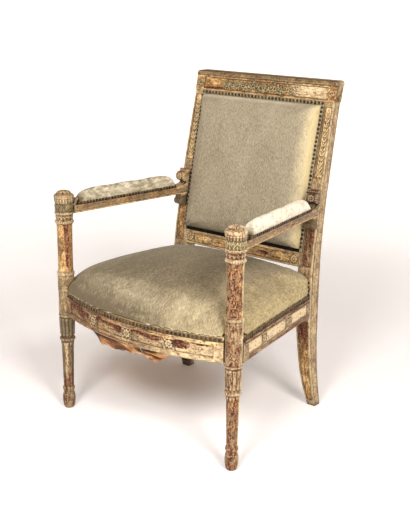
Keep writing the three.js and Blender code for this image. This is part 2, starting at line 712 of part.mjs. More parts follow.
function arm() {
  const end = armLine.length + overrun;
  const beam = armLine.bar(0, end, -armWidth / 2, armWidth / 2, armBottom + armFilletHeight, armTop);
  const filletHalf = armWidth / 2 - armFilletInset;
  const fillet = armLine.bar(0, end, -filletHalf, filletHalf, armBottom, armTop - clearance);
  const rollZ = armBottom + upperRollHeight;
  const neck = armLine.length - consoleNeck + (rollZ - armMiddle) * armRake;
  const hollow = new THREE.QuadraticBezierCurve(
    new THREE.Vector2(armLine.length - consoleReach, armTop - clearance),
    new THREE.Vector2(neck - consoleNeck / 2, armTop + consoleNeck / 2),
    new THREE.Vector2(neck, rollZ),
  ).getPoints(consoleCurveSteps).map(({ x, y }) => [x, y]);
  const bracket = [...hollow.reverse(), [end, armTop - clearance], [end + overrun, rollZ]];
  const bracketSolid = extruded(bracket, armWidth).translate(0, 0, -armWidth / 2);
  const foot = armLine.bar(
    armLine.length - rollReach - lowerRollRadius / 2, end, -armWidth / 2, armWidth / 2,
    armBottom - lowerRollDrop, armTop - clearance,
  );
  const whole = plus(
    beam, fillet, foot, alongArm(bracketSolid), armRoll(upperRollRadius, rollZ),
    armRoll(lowerRollRadius, armBottom - lowerRollDrop),
  );
  const before = block(
    0, postOffset * 2, -postRingRadius * 2, postRingRadius / 2, armBottom - overrun, armTop + overrun,
  );
  const shaped = minus(
    whole, postSolid(clearance), before,
    behindStile(armBottom - lowerRollDrop * 2, rollZ + upperRollRadius * 2),
  );
  return minus(plus(shaped, armFrontTenon(0), armRearTenon(0)), pegs.arm_front.bore, pegs.arm_rear.bore);
}

// Seat: places on a plan that is drawn in from the rails' outer faces
const sideXAt = (y, inset) => sideLine.x0 + ((y - sideLine.y0) * sideLine.ax - inset) / sideLine.ay;

// The angle on the front arc where the side line crosses it
function cornerAngle(inset) {
  const radius = railArcRadius - inset;
  let y = -railEndSetback;
  for (let i = 0; i < cornerRounds; i += 1) {
    y = railArcCentre - Math.sqrt(radius ** 2 - sideXAt(y, inset) ** 2);
  }
  return Math.asin(sideXAt(y, inset) / radius);
}

function seatPlace(u, v, inset) {
  const radius = railArcRadius - inset;
  const angle = u * cornerAngle(inset);
  const [frontX, frontY] = [radius * Math.sin(angle), railArcCentre - radius * Math.cos(angle)];
  const backY = backRailBack - inset;
  const share = (v + 1) / 2;
  return [frontX + (u * sideXAt(backY, inset) - frontX) * share, frontY + (backY - frontY) * share];
}

function seatDome(inset, drop, bottom) {
  const crown = (u, v) => crownAt(u, ...seatPowers) * crownAt(v, ...seatPowers);
  const top = (u, v) => [...seatPlace(u, v, inset), railTop + seatWall + seatCrown * crown(u, v) - drop];
  const under = (u, v) => [...seatPlace(u, v, inset), bottom];
  return slab(top, under, crowdedStations(seatColumns), crowdedStations(seatRows));
}

// What the posts and the rear legs take out of a layer of the seat
function seatNotches(margin) {
  const [low, high] = [railBottom - overrun, railTop + seatWall + seatCrown];
  const post = uprightCylinder(postOffset, 0, postWrapRadius + margin, low, high, postFacets);
  const outside = block(postOffset, postOffset * 2, -postOffset, postRingRadius, low, high);
  const leg = block(
    legInner - clearance - margin, postOffset * 2, legFrontAt(railTop) - clearance * 3 - margin,
    legSeatY + legRake, low, high,
  );
  return [...bothSides(post), ...bothSides(outside), ...bothSides(leg)];
}

function seatCover() {
  const inner = seatDome(coverInset + coverThickness, coverThickness, railTop - overrun);
  const shell = minus(seatDome(coverInset, 0, railTop + clearance), inner);
  const end = arcAngle(postOffset);
  const rabbet = arcBand(
    railArcRadius - rabbetDepth + clearance, railArcRadius - railThickness, -end, end, arcSteps,
  );
  return minus(shell, upright(rabbet, railBottom, rabbetTop + clearance), ...seatNotches(0));
}

const seatGap = coverThickness + clearance * 2;

function seatFilling(from, to) {
  const dome = seatDome(coverInset + seatGap, seatGap, railTop - overrun);
  const layer = block(-postOffset * 2, postOffset * 2, -postOffset, legSeatY + legRake, from, to);
  return minus(dome.intersect(layer), ...seatNotches(clearance * 3));
}

// Webbing straps that pass over and under each other
const lengthwiseStraps = lengthwiseStrapShares.map((share) => share * postOffset);
const crosswiseStraps = crosswiseStrapShares.map((share) => share * legSeatY);

function strapOutline(start, end, crossings, firstIsHigh) {
  const path = [[start, webbingLow]];
  const reach = webbingWidth / 2 + webbingThickness * 2;
  const ramp = reach + webbingThickness * 4;
  crossings.forEach((place, i) => {
    if ((i % 2 === 0) !== firstIsHigh) return;
    path.push([place - ramp, webbingLow], [place - reach, webbingHigh]);
    path.push([place + reach, webbingHigh], [place + ramp, webbingLow]);
  });
  path.push([end, webbingLow]);
  const bottom = path.map(([s, z]) => [s, z - webbingThickness / 2]);
  const top = path.map(([s, z]) => [s, z + webbingThickness / 2]);
  return [...bottom, ...top.reverse()];
}

function lengthwiseStrap(x, index) {
  const outerEdge = Math.abs(x) + webbingWidth / 2;
  const radius = railArcRadius - rabbetDepth;
  const start = railArcCentre - Math.sqrt(radius ** 2 - outerEdge ** 2) + webbingRest;
  const end = backRailBack - rabbetDepth - webbingRest;
  const outline = strapOutline(start, end, crosswiseStraps, index % 2 === 0);
  return across(outline, x - webbingWidth / 2, x + webbingWidth / 2);
}

function crosswiseStrap(y, index) {
  const rear = y + webbingWidth / 2;
  const end = sideXAt(rear, rabbetDepth) - webbingRest;
  const outline = strapOutline(-end, end, lengthwiseStraps, index % 2 === 1);
  const turn = new THREE.Matrix4().makeBasis(
    new THREE.Vector3(1, 0, 0), new THREE.Vector3(0, 0, 1), new THREE.Vector3(0, -1, 0),
  );
  return solidOf(extruded(outline, webbingWidth).translate(0, 0, -rear).applyMatrix4(turn));
}

// Gimp bands under the seat's nails
const gimpBottom = railTop + clearance;
const gimpTop = gimpBottom + gimpWidth;

function frontGimp() {
  const [outer, inner] = [railArcRadius - gimpOuter, railArcRadius - gimpOuter - gimpThickness];
  const end = arcAngle(postOffset);
  const band = upright(arcBand(outer, inner, -end, end, arcSteps), gimpBottom, gimpTop);
  const posts = bothSides(uprightCylinder(
    postOffset, 0, postWrapRadius, gimpBottom - overrun, gimpTop + overrun, postFacets,
  ));
  const beyond = bothSides(block(
    postOffset - postWrapRadius / 2, postOffset * 2, -postOffset, postOffset,
    gimpBottom - overrun, gimpTop + overrun,
  ));
  return minus(band, ...posts, ...beyond);
}

function sideGimp() {
  const band = sideLine.bar(
    postRingRadius - sideRailFrontOut, sideLine.length + overrun, -gimpOuter - gimpThickness, -gimpOuter,
    gimpBottom, gimpTop,
  );
  return minus(band, behindStile(gimpBottom - overrun, gimpTop + overrun));
}

function backGimp() {
  const end = legInner - clearance * 2;
  const outer = backRailBack - gimpOuter;
  return block(-end, end, outer - gimpThickness, outer, gimpBottom, gimpTop);
}

// The lining under the seat, torn open behind the front rail
function seatLining() {
  const top = railBottom - clearance;
  const us = crowdedStations(seatColumns);
  const front = us.map((u) => seatPlace(u, -1, liningInset));
  const outline = [...front, seatPlace(1, 1, liningInset), seatPlace(-1, 1, liningInset)];
  const sheet = upright(outline, top - liningThickness, top);
  const tear = upright(
    tearShares.map(([x, y]) => [x * postOffset, railThickness - railBow - railEndSetback + y * legSeatY]),
    top - overrun, top + overrun,
  );
  const post = uprightCylinder(postOffset, 0, postWrapRadius, top - overrun, top + overrun, postFacets);
  const leg = legSolid(clearance * 3, crestBottom);
  return minus(sheet, tear, ...bothSides(post), ...bothSides(leg));
}

// A rag that hangs behind the front rail, with its lower edge in points
function tornFlap(shares) {
  const top = railBottom - clearance * 2 - liningThickness;
  const radius = railArcRadius - flapInset;
  const place = (i, v, inward) => {
    const [along, length] = shares[i];
    const angle = Math.asin(along * postOffset / radius);
    const r = radius - inward + flapLean * v * length;
    return [r * Math.sin(angle), railArcCentre - r * Math.cos(angle), top + v * flapDepth * length];
  };
  const columns = shares.map((_, i) => i);
  const rows = evenStations(-1, 0, flapRows);
  return slab((i, v) => place(i, v, 0), (i, v) => place(i, v, flapThickness), columns, rows);
}

// Back: places before the front faces of the frame, and behind its back faces
const backStations = evenStations(0, 1, backSteps);

function backSheet(halfWidth, z0, z1, near, far) {
  const at = (depth) => (u, v) => {
    const z = z0 + (z1 - z0) * v;
    return [u * halfWidth, legFrontAt(z) - depth, z];
  };
  return slab(at(far), at(near), [-1, 1], backStations);
}

function outsideSheet(halfWidth, z0, z1, near, far) {
  const at = (depth) => (u, v) => {
    const z = z0 + (z1 - z0) * v;
    return [u * halfWidth, legBackAt(z) + depth, z];
  };
  return slab(at(near), at(far), [-1, 1], backStations);
}

function backDome(inset, base, height, under) {
  const stations = mirroredStations(backStationShares);
  const middle = (backBottom + backStuffTop) / 2;
  const halfHeight = (backStuffTop - backBottom) / 2 - clearance - inset;
  const halfWidth = backWallFoot - inset;
  const crown = (u, v) => crownAt(u, ...backPowers) * crownAt(v, ...backPowers);
  const at = (depthAt) => (u, v) => {
    const z = middle + v * halfHeight;
    return [u * halfWidth, legFrontAt(z) - depthAt(u, v), z];
  };
  return slab(at((u, v) => base + height * crown(u, v)), at(() => under), stations, stations);
}

const sheetOuter = clearance + backSheetThickness;
const flangeInner = sheetOuter + clearance;
const flangeOuter = flangeInner + coverThickness;

function backCover() {
  const flange = backSheet(backHalfWidth, backBottom, backTop, flangeInner, flangeOuter);
  const shell = backDome(0, flangeOuter, backDepth, flangeInner + clearance);
  const hollow = backDome(coverThickness, flangeOuter - coverThickness, backDepth, -overrun);
  return minus(plus(flange, shell), hollow);
}

function backStuffing() {
  const inset = coverThickness + clearance * 2;
  return backDome(inset, flangeInner, backDepth - clearance * 3, sheetOuter + clearance);
}

function backBurlap() {
  return backSheet(backHalfWidth - gimpThickness, backBottom, backTop - gimpThickness, clearance, sheetOuter);
}

function backGimpRing() {
  const outer = backSheet(
    backHalfWidth, backBottom, backTop, flangeOuter + clearance, flangeOuter + clearance + gimpThickness,
  );
  const hole = backSheet(
    backWallFoot + clearance, backBottom - overrun, backStuffTop + clearance, -overrun, backDepth,
  );
  return minus(outer, hole);
}

function outsideCover() {
  return outsideSheet(outsideHalfWidth, outsideBottom, outsideTop, clearance, clearance + coverThickness);
}

function outsideGimpRing() {
  const near = clearance * 2 + coverThickness;
  const outer = outsideSheet(outsideHalfWidth, outsideBottom, outsideTop, near, near + gimpThickness);
  const hole = outsideSheet(
    outsideHalfWidth - gimpWidth, outsideBottom + gimpWidth, outsideTop - gimpWidth, 0, overrun,
  );
  return minus(outer, hole);
}

// Arm pads
function padDome(inset, drop, bottom) {
  const acrossStations = mirroredStations(padAcrossShares);
  const alongStations = mirroredStations(padAlongShares);
  const [middle, halfLength] = [(padStart + padEnd) / 2, (padEnd - padStart) / 2 - inset];
  const halfWidth = armWidth / 2 - padInset - inset;
  const crown = (u, v) => crownAt(u, ...padAcrossPowers) * crownAt(v, ...padAlongPowers);
  const at = (heightAt) => (u, v) => [
    ...armLine.point(middle + v * halfLength, u * halfWidth), heightAt(u, v),
  ];
  const top = at((u, v) => armTop + padWall + padCrown * crown(u, v) - drop);
  return slab(top, at(() => bottom), acrossStations, alongStations);
}

function padCover() {
  const hollow = padDome(padCoverThickness, padCoverThickness, armTop - overrun);
  return minus(padDome(0, 0, armTop + clearance), hollow);
}

function padStuffing() {
  const gap = padCoverThickness + clearance * 2;
  return padDome(gap, gap, armTop + clearance);
}

function padGimp() {
  const [low, high] = [armTop + clearance, armTop + clearance + padGimpHeight];
  const halfInner = armWidth / 2 - padInset + clearance;
  const outer = armLine.bar(
    padStart - clearance - padGimpThickness, padEnd + clearance + padGimpThickness,
    -halfInner - padGimpThickness, halfInner + padGimpThickness, low, high,
  );
  const inner = armLine.bar(
    padStart - clearance, padEnd + clearance, -halfInner, halfInner, low - overrun, high + overrun,
  );
  return minus(outer, inner);
}

// Finishes
const finish = (color, roughness, metalness = 0) => new THREE.MeshStandardMaterial({
  color, roughness, metalness, flatShading: true,
});
const finishes = {
  paint: () => finish(0xcbb083, 0.6),
  gilding: () => finish(0xb98f4c, 0.5),
  rawWood: () => finish(0x9a7448, 0.8),
  velvet: () => finish(0x8f8a6c, 0.9),
  paleVelvet: () => finish(0xd9d3b8, 0.9),
  webbing: () => finish(0xa58757, 0.95),
  burlap: () => finish(0xb39a6b, 0.95),
  stuffing: () => finish(0x4b3c2d, 1),
  lining: () => finish(0x57483a, 0.95),
  leather: () => finish(0x9c5a26, 0.75),
  gimp: () => finish(0xbdb696, 0.9),
};

const chair = new THREE.Group();

function place(name, geometry, material) {
  const mesh = new THREE.Mesh(geometry, material);
  mesh.name = name;
  chair.add(mesh);
}

const add = (name, solid, material) => place(name, geometryOf(solid), finishes[material]());

function addPair(name, solid, material) {
  const geometry = geometryOf(solid);
  place(`${name}_right`, geometry, finishes[material]());
  place(`${name}_left`, mirrored(geometry), finishes[material]());
}

addPair('front_post', frontPost(), 'paint');
addPair('rear_leg', rearLeg(), 'paint');
add('front_seat_rail', frontRail(), 'paint');
addPair('side_seat_rail', sideRail(), 'paint');
add('back_seat_rail', backRail(), 'rawWood');
add('crest_rail', crestRail(), 'gilding');
add('lower_back_rail', lowerBackRail(), 'gilding');
addPair('arm', arm(), 'gilding');
Object.entries(pegs).forEach(([joint, { peg }]) => addPair(`peg_${joint}`, peg, 'rawWood'));

lengthwiseStraps.forEach((x, i) => add(`webbing_lengthwise_${i + 1}`, lengthwiseStrap(x, i), 'webbing'));
crosswiseStraps.forEach((y, i) => add(`webbing_crosswise_${i + 1}`, crosswiseStrap(y, i), 'webbing'));
add('seat_burlap', seatFilling(burlapBottom, burlapBottom + burlapThickness), 'burlap');
add('seat_stuffing', seatFilling(stuffingBottom, railTop + seatWall + seatCrown), 'stuffing');
add('seat_cover', seatCover(), 'velvet');
add('seat_gimp_front', frontGimp(), 'gimp');
addPair('seat_gimp', sideGimp(), 'gimp');
add('seat_gimp_back', backGimp(), 'gimp');
add('seat_lining', seatLining(), 'lining');
add('torn_flap_left', tornFlap(leftFlapShares), 'leather');
add('torn_flap_right', tornFlap(rightFlapShares), 'leather');

add('back_burlap', backBurlap(), 'burlap');
add('back_stuffing', backStuffing(), 'stuffing');
add('back_cover', backCover(), 'velvet');
add('back_gimp', backGimpRing(), 'gimp');
add('outside_back_cover', outsideCover(), 'velvet');
add('outside_back_gimp', outsideGimpRing(), 'gimp');

addPair('arm_pad_stuffing', padStuffing(), 'stuffing');
addPair('arm_pad_cover', padCover(), 'paleVelvet');
addPair('arm_pad_gimp', padGimp(), 'gimp');

// The finished chair stands with its middle over the origin
const bounds = new THREE.Box3().setFromObject(chair);
chair.position.y = -(bounds.min.y + bounds.max.y) / 2;
chair.updateMatrixWorld(true);

export default chair;
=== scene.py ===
import functools
import math

import bmesh
import bpy
import numpy as np
from mathutils import Matrix, Vector


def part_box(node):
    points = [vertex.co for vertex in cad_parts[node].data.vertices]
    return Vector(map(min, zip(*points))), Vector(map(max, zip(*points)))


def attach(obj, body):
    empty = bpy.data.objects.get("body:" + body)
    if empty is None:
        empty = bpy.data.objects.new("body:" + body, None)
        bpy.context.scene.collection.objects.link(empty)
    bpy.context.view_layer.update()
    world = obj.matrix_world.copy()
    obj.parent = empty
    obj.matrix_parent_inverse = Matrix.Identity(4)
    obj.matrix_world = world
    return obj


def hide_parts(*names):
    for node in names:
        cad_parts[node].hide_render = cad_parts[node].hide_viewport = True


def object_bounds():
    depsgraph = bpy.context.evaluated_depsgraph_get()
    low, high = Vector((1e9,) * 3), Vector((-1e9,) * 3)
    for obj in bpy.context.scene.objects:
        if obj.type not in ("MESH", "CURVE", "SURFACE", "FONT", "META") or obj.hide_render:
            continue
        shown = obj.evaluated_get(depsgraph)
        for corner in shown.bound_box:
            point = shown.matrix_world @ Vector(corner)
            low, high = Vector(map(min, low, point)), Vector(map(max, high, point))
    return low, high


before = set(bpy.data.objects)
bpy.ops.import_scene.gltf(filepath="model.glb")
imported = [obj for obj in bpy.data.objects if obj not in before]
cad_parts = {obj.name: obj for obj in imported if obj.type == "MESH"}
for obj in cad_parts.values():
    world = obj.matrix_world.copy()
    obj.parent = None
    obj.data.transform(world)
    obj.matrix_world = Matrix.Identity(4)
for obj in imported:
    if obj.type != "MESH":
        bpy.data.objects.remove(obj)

cad_low, cad_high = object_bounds()
scene = bpy.context.scene
MM = 0.001
TAU = math.tau


def corners(node):
    """The lowest and highest corner of a solid, in millimetres."""
    low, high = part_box(node)
    return np.array(low) / MM, np.array(high) / MM


def bell(value, middle, width):
    """1 at the middle, falling off smoothly on both sides."""
    return np.exp(-(((value - middle) / width) ** 2))


def slope(value, start, run):
    """0 up to the start, then rising evenly to 1 over the run, which may be negative."""
    return np.clip((value - start) / run, 0, 1)


def fade(value, start, length):
    """1 up to the start, then dying away over that length."""
    return np.exp(-np.clip(value - start, 0, None) / length)


def unit(values):
    """Vectors shortened or stretched to length 1."""
    values = np.asarray(values, float)
    return values / np.maximum(np.linalg.norm(values, axis=-1, keepdims=True), 1e-9)


def crosswise(outward):
    """Two directions at right angles to an outward one and to each other."""
    helper = (0.0, 0.0, 1.0) if abs(outward[2]) < 0.8 else (0.0, 1.0, 0.0)
    first = unit(np.cross(helper, outward))
    return first, np.cross(outward, first)


def highest(*values):
    """The greatest of several values at each place."""
    return functools.reduce(np.maximum, values)


def add_object(name, data):
    """A new object in the scene."""
    made = bpy.data.objects.new(name, data)
    scene.collection.objects.link(made)
    return made


# Sizes that the solids share, from their boxes where they can be
CHAIR_HEIGHT = cad_high.z / MM
post_low, post_high = corners("front_post_right")
POST_X = (post_low[0] + post_high[0]) / 2
POST_Y = (post_low[1] + post_high[1]) / 2
POST_TOP = post_high[2]
rail_low, rail_high = corners("front_seat_rail")
RAIL_BOTTOM = rail_low[2]
RAIL_TOP = 347.0
RABBET_TOP = rail_high[2]
RABBET_DEPTH = 6.0
RAIL_THICKNESS = 30.0
RAIL_BOW = 57.0
RAIL_BOW_HALF = 285.0
RAIL_SETBACK = 15.0
RAIL_RADIUS = (RAIL_BOW_HALF**2 + RAIL_BOW**2) / (2 * RAIL_BOW)
RAIL_CENTRE = POST_Y + RAIL_RADIUS - RAIL_BOW - RAIL_SETBACK
SIDE_START = np.array([POST_X + 17.0, POST_Y + 17.0])
SIDE_END = np.array([255.0, POST_Y + 418.0])
CREST_BOTTOM = 893.0
LOWER_RAIL = (433.0, 474.0)
ARM_BOTTOM = 583.0
ARM_TOP = 607.0
ARM_WIDTH = 34.0
PAD_START = 46.0
BACK_HALF = corners("back_cover")[1][0]
BACK_WALL_HALF = BACK_HALF - 8.4
BACK_BOTTOM = 476.0
BACK_TOP = 894.0
BACK_STUFF_TOP = 884.0

# Camera, where the photograph was taken from
CAMERA_TARGET = (4.2, 251.6 + POST_Y, 462.3)
CAMERA_DISTANCE = 2789.0
CAMERA_AZIMUTH = math.radians(38.5)
CAMERA_ELEVATION = math.radians(15.9)
CAMERA_ROLL = math.radians(0.7)
CAMERA_SENSOR = 36.0
CAMERA_FOCAL_SHARE = 984.3 / 513


def make_camera():
    """The camera, level but for its roll, at its distance from the target."""
    back = Vector((
        math.sin(CAMERA_AZIMUTH) * math.cos(CAMERA_ELEVATION),
        -math.cos(CAMERA_AZIMUTH) * math.cos(CAMERA_ELEVATION),
        math.sin(CAMERA_ELEVATION),
    ))
    level = Vector((math.cos(CAMERA_AZIMUTH), math.sin(CAMERA_AZIMUTH), 0))
    above = back.cross(level)
    right = level * math.cos(CAMERA_ROLL) + above * math.sin(CAMERA_ROLL)
    above = above * math.cos(CAMERA_ROLL) - level * math.sin(CAMERA_ROLL)
    data = bpy.data.cameras.new("camera")
    data.sensor_width = CAMERA_SENSOR
    data.lens = CAMERA_SENSOR * CAMERA_FOCAL_SHARE
    camera = add_object("camera", data)
    turn = Matrix((right, above, back)).transposed().to_4x4()
    eye = (Vector(CAMERA_TARGET) + back * CAMERA_DISTANCE) * MM
    camera.matrix_world = Matrix.Translation(eye) @ turn
    scene.camera = camera


make_camera()


# Materials
def colour(code):
    """A linear colour from six hexadecimal digits of a screen colour."""
    parts = [int(code[i:i + 2], 16) / 255 for i in (0, 2, 4)]
    return tuple(p / 12.92 if p <= 0.04045 else ((p + 0.055) / 1.055) ** 2.4 for p in parts) + (1.0,)


# Where the mix node keeps its colour sockets
MIX_FIRST = 6
MIX_SECOND = 7
MIX_RESULT = 2


class Shader:
    """A material built by short calls that each add one node."""

    def __init__(self, name, roughness, specular=0.5):
        self.material = bpy.data.materials.new(name)
        self.material.use_nodes = True
        self.tree = self.material.node_tree
        self.surface = self.tree.nodes["Principled BSDF"]
        self.surface.inputs["Roughness"].default_value = roughness
        self.surface.inputs["Specular IOR Level"].default_value = specular
        self.place = self.node("ShaderNodeTexCoord").outputs["Object"]

    def node(self, kind, **settings):
        node = self.tree.nodes.new(kind)
        for key, value in settings.items():
            setattr(node, key, value)
        return node

    def feed(self, socket, value):
        """Gives a socket a value, or links it to another socket."""
        if isinstance(value, bpy.types.NodeSocket):
            self.tree.links.new(value, socket)
        else:
            socket.default_value = value

    def stretch(self, scale, turn=(0, 0, 0)):
        """Places with each axis scaled, so that a texture runs along the grain."""
        node = self.node("ShaderNodeMapping")
        self.feed(node.inputs["Vector"], self.place)
        node.inputs["Scale"].default_value = scale
        node.inputs["Rotation"].default_value = turn
        return node.outputs["Vector"]

    def texture(self, node, place, **values):
        """A texture node at a place, with the values of its other inputs."""
        self.feed(node.inputs["Vector"], place)
        for name, value in values.items():
            node.inputs[name].default_value = value
        return node

    def noise(self, place, scale, detail=4.0, roughness=0.6, distortion=0.0):
        node = self.node("ShaderNodeTexNoise")
        values = {"Scale": scale, "Detail": detail, "Roughness": roughness, "Distortion": distortion}
        return self.texture(node, place, **values).outputs["Fac"]

    def cells(self, place, scale):
        node = self.node("ShaderNodeTexVoronoi", feature="DISTANCE_TO_EDGE")
        return self.texture(node, place, Scale=scale).outputs["Distance"]

    def wave(self, place, scale, axis, distortion=0.0):
        node = self.node("ShaderNodeTexWave", bands_direction=axis)
        return self.texture(node, place, Scale=scale, Distortion=distortion).outputs["Fac"]

    def field(self, name):
        """A value that the mesh holds at each vertex."""
        return self.node("ShaderNodeAttribute", attribute_name=name).outputs["Fac"]

    def sum(self, *terms):
        """The sum of sockets, or of pairs of a socket and its factor."""
        total = None
        for term in terms:
            socket, factor = term if isinstance(term, tuple) else (term, 1.0)
            node = self.node("ShaderNodeMath", operation="MULTIPLY_ADD")
            self.feed(node.inputs[0], socket)
            node.inputs[1].default_value = factor
            if total is None:
                node.inputs[2].default_value = 0.0
            else:
                self.feed(node.inputs[2], total)
            total = node.outputs[0]
        return total

    def times(self, a, b):
        node = self.node("ShaderNodeMath", operation="MULTIPLY")
        self.feed(node.inputs[0], a)
        self.feed(node.inputs[1], b)
        return node.outputs[0]

    def between(self, value, low, high, to_low=0.0, to_high=1.0):
        """A value's smooth passage from low to high, as one from to_low to to_high."""
        node = self.node("ShaderNodeMapRange", interpolation_type="SMOOTHSTEP")
        self.feed(node.inputs["Value"], value)
        limits = {"From Min": low, "From Max": high, "To Min": to_low, "To Max": to_high}
        for name, limit in limits.items():
            node.inputs[name].default_value = limit
        return node.outputs["Result"]

    def ramp(self, value, *stops):
        """A colour looked up from stops of place and colour code."""
        node = self.node("ShaderNodeValToRGB")
        self.feed(node.inputs["Fac"], value)
        stripe = node.color_ramp.elements
        while len(stripe) < len(stops):
            stripe.new(0.5)
        for element, (place, shade) in zip(stripe, stops):
            element.position = place
            element.color = colour(shade)
        return node.outputs["Color"]

    def mix(self, share, a, b, blend="MIX"):
        """A colour that share of the way from a to b, which are sockets or colour codes."""
        node = self.node("ShaderNodeMix", data_type="RGBA", blend_type=blend)
        self.feed(node.inputs[0], share)
        for socket, shade in ((MIX_FIRST, a), (MIX_SECOND, b)):
            self.feed(node.inputs[socket], colour(shade) if isinstance(shade, str) else shade)
        return node.outputs[MIX_RESULT]

    def bump(self, height, strength, distance):
        """Roughens the surface with a relief of that many millimetres."""
        node = self.node("ShaderNodeBump")
        node.inputs["Strength"].default_value = strength
        node.inputs["Distance"].default_value = distance * MM
        self.feed(node.inputs["Height"], height)
        self.feed(self.surface.inputs["Normal"], node.outputs["Normal"])

    def done(self, base, roughness=None):
        """The finished material."""
        self.feed(self.surface.inputs["Base Color"], base)
        if roughness is not None:
            self.feed(self.surface.inputs["Roughness"], roughness)
        return self.material


# Stops of colour ramps, from dark to light
PAINT_STOPS = ((0.4, "4c3a26"), (0.47, "7f6848"), (0.53, "a58c66"), (0.62, "d3bd95"))
GILT_STOPS = ((0.4, "3a2411"), (0.47, "75512a"), (0.53, "a67d46"), (0.6, "dfc088"))
GREEN_STOPS = ((0.4, "2b2815"), (0.49, "625a35"), (0.6, "a39465"))
GROUND_STOPS = ((0.4, "230f08"), (0.47, "4a2415"), (0.53, "6e3e28"), (0.62, "ac7c56"))
WOOD_STOPS = ((0.32, "6d4b2c"), (0.5, "94693f"), (0.68, "b58a58"))
HIDE_STOPS = ((0.41, "2e1a0c"), (0.47, "6b4020"), (0.53, "a46e3c"), (0.6, "d2a873"))
NAIL_STOPS = ((0.3, "1a120b"), (0.6, "302319"), (0.9, "56432c"), (1.0, "806843"))
PILE_PLACES = (0.32, 0.46, 0.56, 0.72)
BRAID_PLACES = (0.3, 0.52, 0.75)
# how far the painted shade in hollows looks for nearby surfaces, in millimetres
HOLLOW_REACH = 7.0
ALONG_Z = (1.0, 1.0, 0.22)
ALONG_X = (0.22, 1.0, 1.0)
ALONG_Y = (1.0, 0.22, 1.0)


def painted(name, grain, flake, gold, more_dirt_and_shade=0.0, pale=0.0):
    """Old paint and gilding over a red ground, chipped and rubbed bare in places, dark with dirt and
    painted shade in its hollows, and with painted highlights on its edges.
    """
    s = Shader(name, 0.6, 0.3)
    grained = s.stretch(grain)
    cloud = s.noise(s.place, 36, 4, 0.6)
    blotch = s.noise(grained, 90, 5, 0.65, 0.5)
    chip = s.noise(grained, 250, 5, 0.7, 0.4)
    speck = s.noise(s.place, 190, 4, 0.6, 0.3)
    vein = s.noise(s.stretch(tuple(g * g for g in grain)), 300, 4, 0.6)
    fleck = s.noise(s.stretch(tuple(0.5 + 0.5 * g for g in grain)), 270, 4, 0.65, 0.4)
    mottle = s.sum((cloud, 0.3), (chip, 0.4), (speck, 0.3))
    tone = s.sum(mottle, (s.field("pale"), 0.12))
    paint = s.ramp(tone, *((place - pale, shade) for place, shade in PAINT_STOPS))
    gilt = s.ramp(tone, *GILT_STOPS)
    green = s.ramp(s.sum((chip, 0.5), (speck, 0.5)), *GREEN_STOPS)
    ground = s.ramp(s.sum((speck, 0.5), (vein, 0.5)), *GROUND_STOPS)
    goldness = s.between(s.sum(s.field("gild"), (cloud, 1.1), (chip, 0.6)), 1.25 - gold, 1.5 - gold)
    coat = s.mix(goldness, paint, gilt)
    coat = s.mix(s.between(s.sum(s.field("leaf"), (cloud, 0.8)), 0.55, 1.0), coat, green)
    # Painted highlight: a pale cream where the surface bends outwards or the carving stands up
    coat = s.mix(s.times(s.field("edge"), 0.75), coat, "cfb98f")
    coat = s.mix(s.between(s.sum((speck, 0.35), (chip, 0.65)), 0.445, 0.395), coat, "443120")
    coat = s.mix(s.between(vein, 0.55, 0.65, 0.0, 0.6), coat, "644a2e")
    # edges are kept from rubbing through to the ground, which keeps the painted highlight pale
    rubbed = s.between(
        s.sum(s.field("wear"), (s.field("edge"), -0.4), (blotch, 1.4), (chip, 0.9), (speck, 0.6)),
        1.58 - flake, 1.68 - flake,
    )
    kept = s.between(s.sum((fleck, 0.7), (vein, 0.3), (s.field("wear"), -0.1)), 0.505, 0.54, 1.0, 0.08)
    worn = s.times(rubbed, kept)
    base = s.mix(worn, coat, ground)
    # Painted shade: darker where ambient occlusion finds the surface closed in, on top of the dirt and
    # painted shade that the mesh holds for its hollows
    shade = s.node("ShaderNodeAmbientOcclusion", samples=6)
    shade.inputs["Distance"].default_value = HOLLOW_REACH * MM
    closed = s.between(shade.outputs["AO"], 0.85, 0.35)
    hollow = s.sum(s.field("crevice"), (closed, 0.75), (cloud, 0.3))
    base = s.mix(s.between(hollow, 0.3 - more_dirt_and_shade, 1.15 - more_dirt_and_shade, 0.0, 0.88), base, "2d2016")
    s.bump(s.sum((worn, -0.6), (chip, 0.5), (speck, 0.4)), 0.5, 0.6)
    return s.done(base, s.between(worn, 0.0, 1.0, 0.5, 0.78))


def bare_wood(name, grain):
    """Old unpainted wood with fine grain and dark stains."""
    s = Shader(name, 0.75, 0.3)
    grained = s.stretch(tuple(g * g for g in grain))
    rings = s.noise(grained, 160, 5, 0.6, 0.6)
    stain = s.noise(s.place, 18, 4, 0.6)
    wood = s.ramp(rings, *WOOD_STOPS)
    base = s.mix(s.between(stain, 0.42, 0.66), wood, "54381f")
    s.bump(rings, 0.4, 0.5)
    return s.done(base)


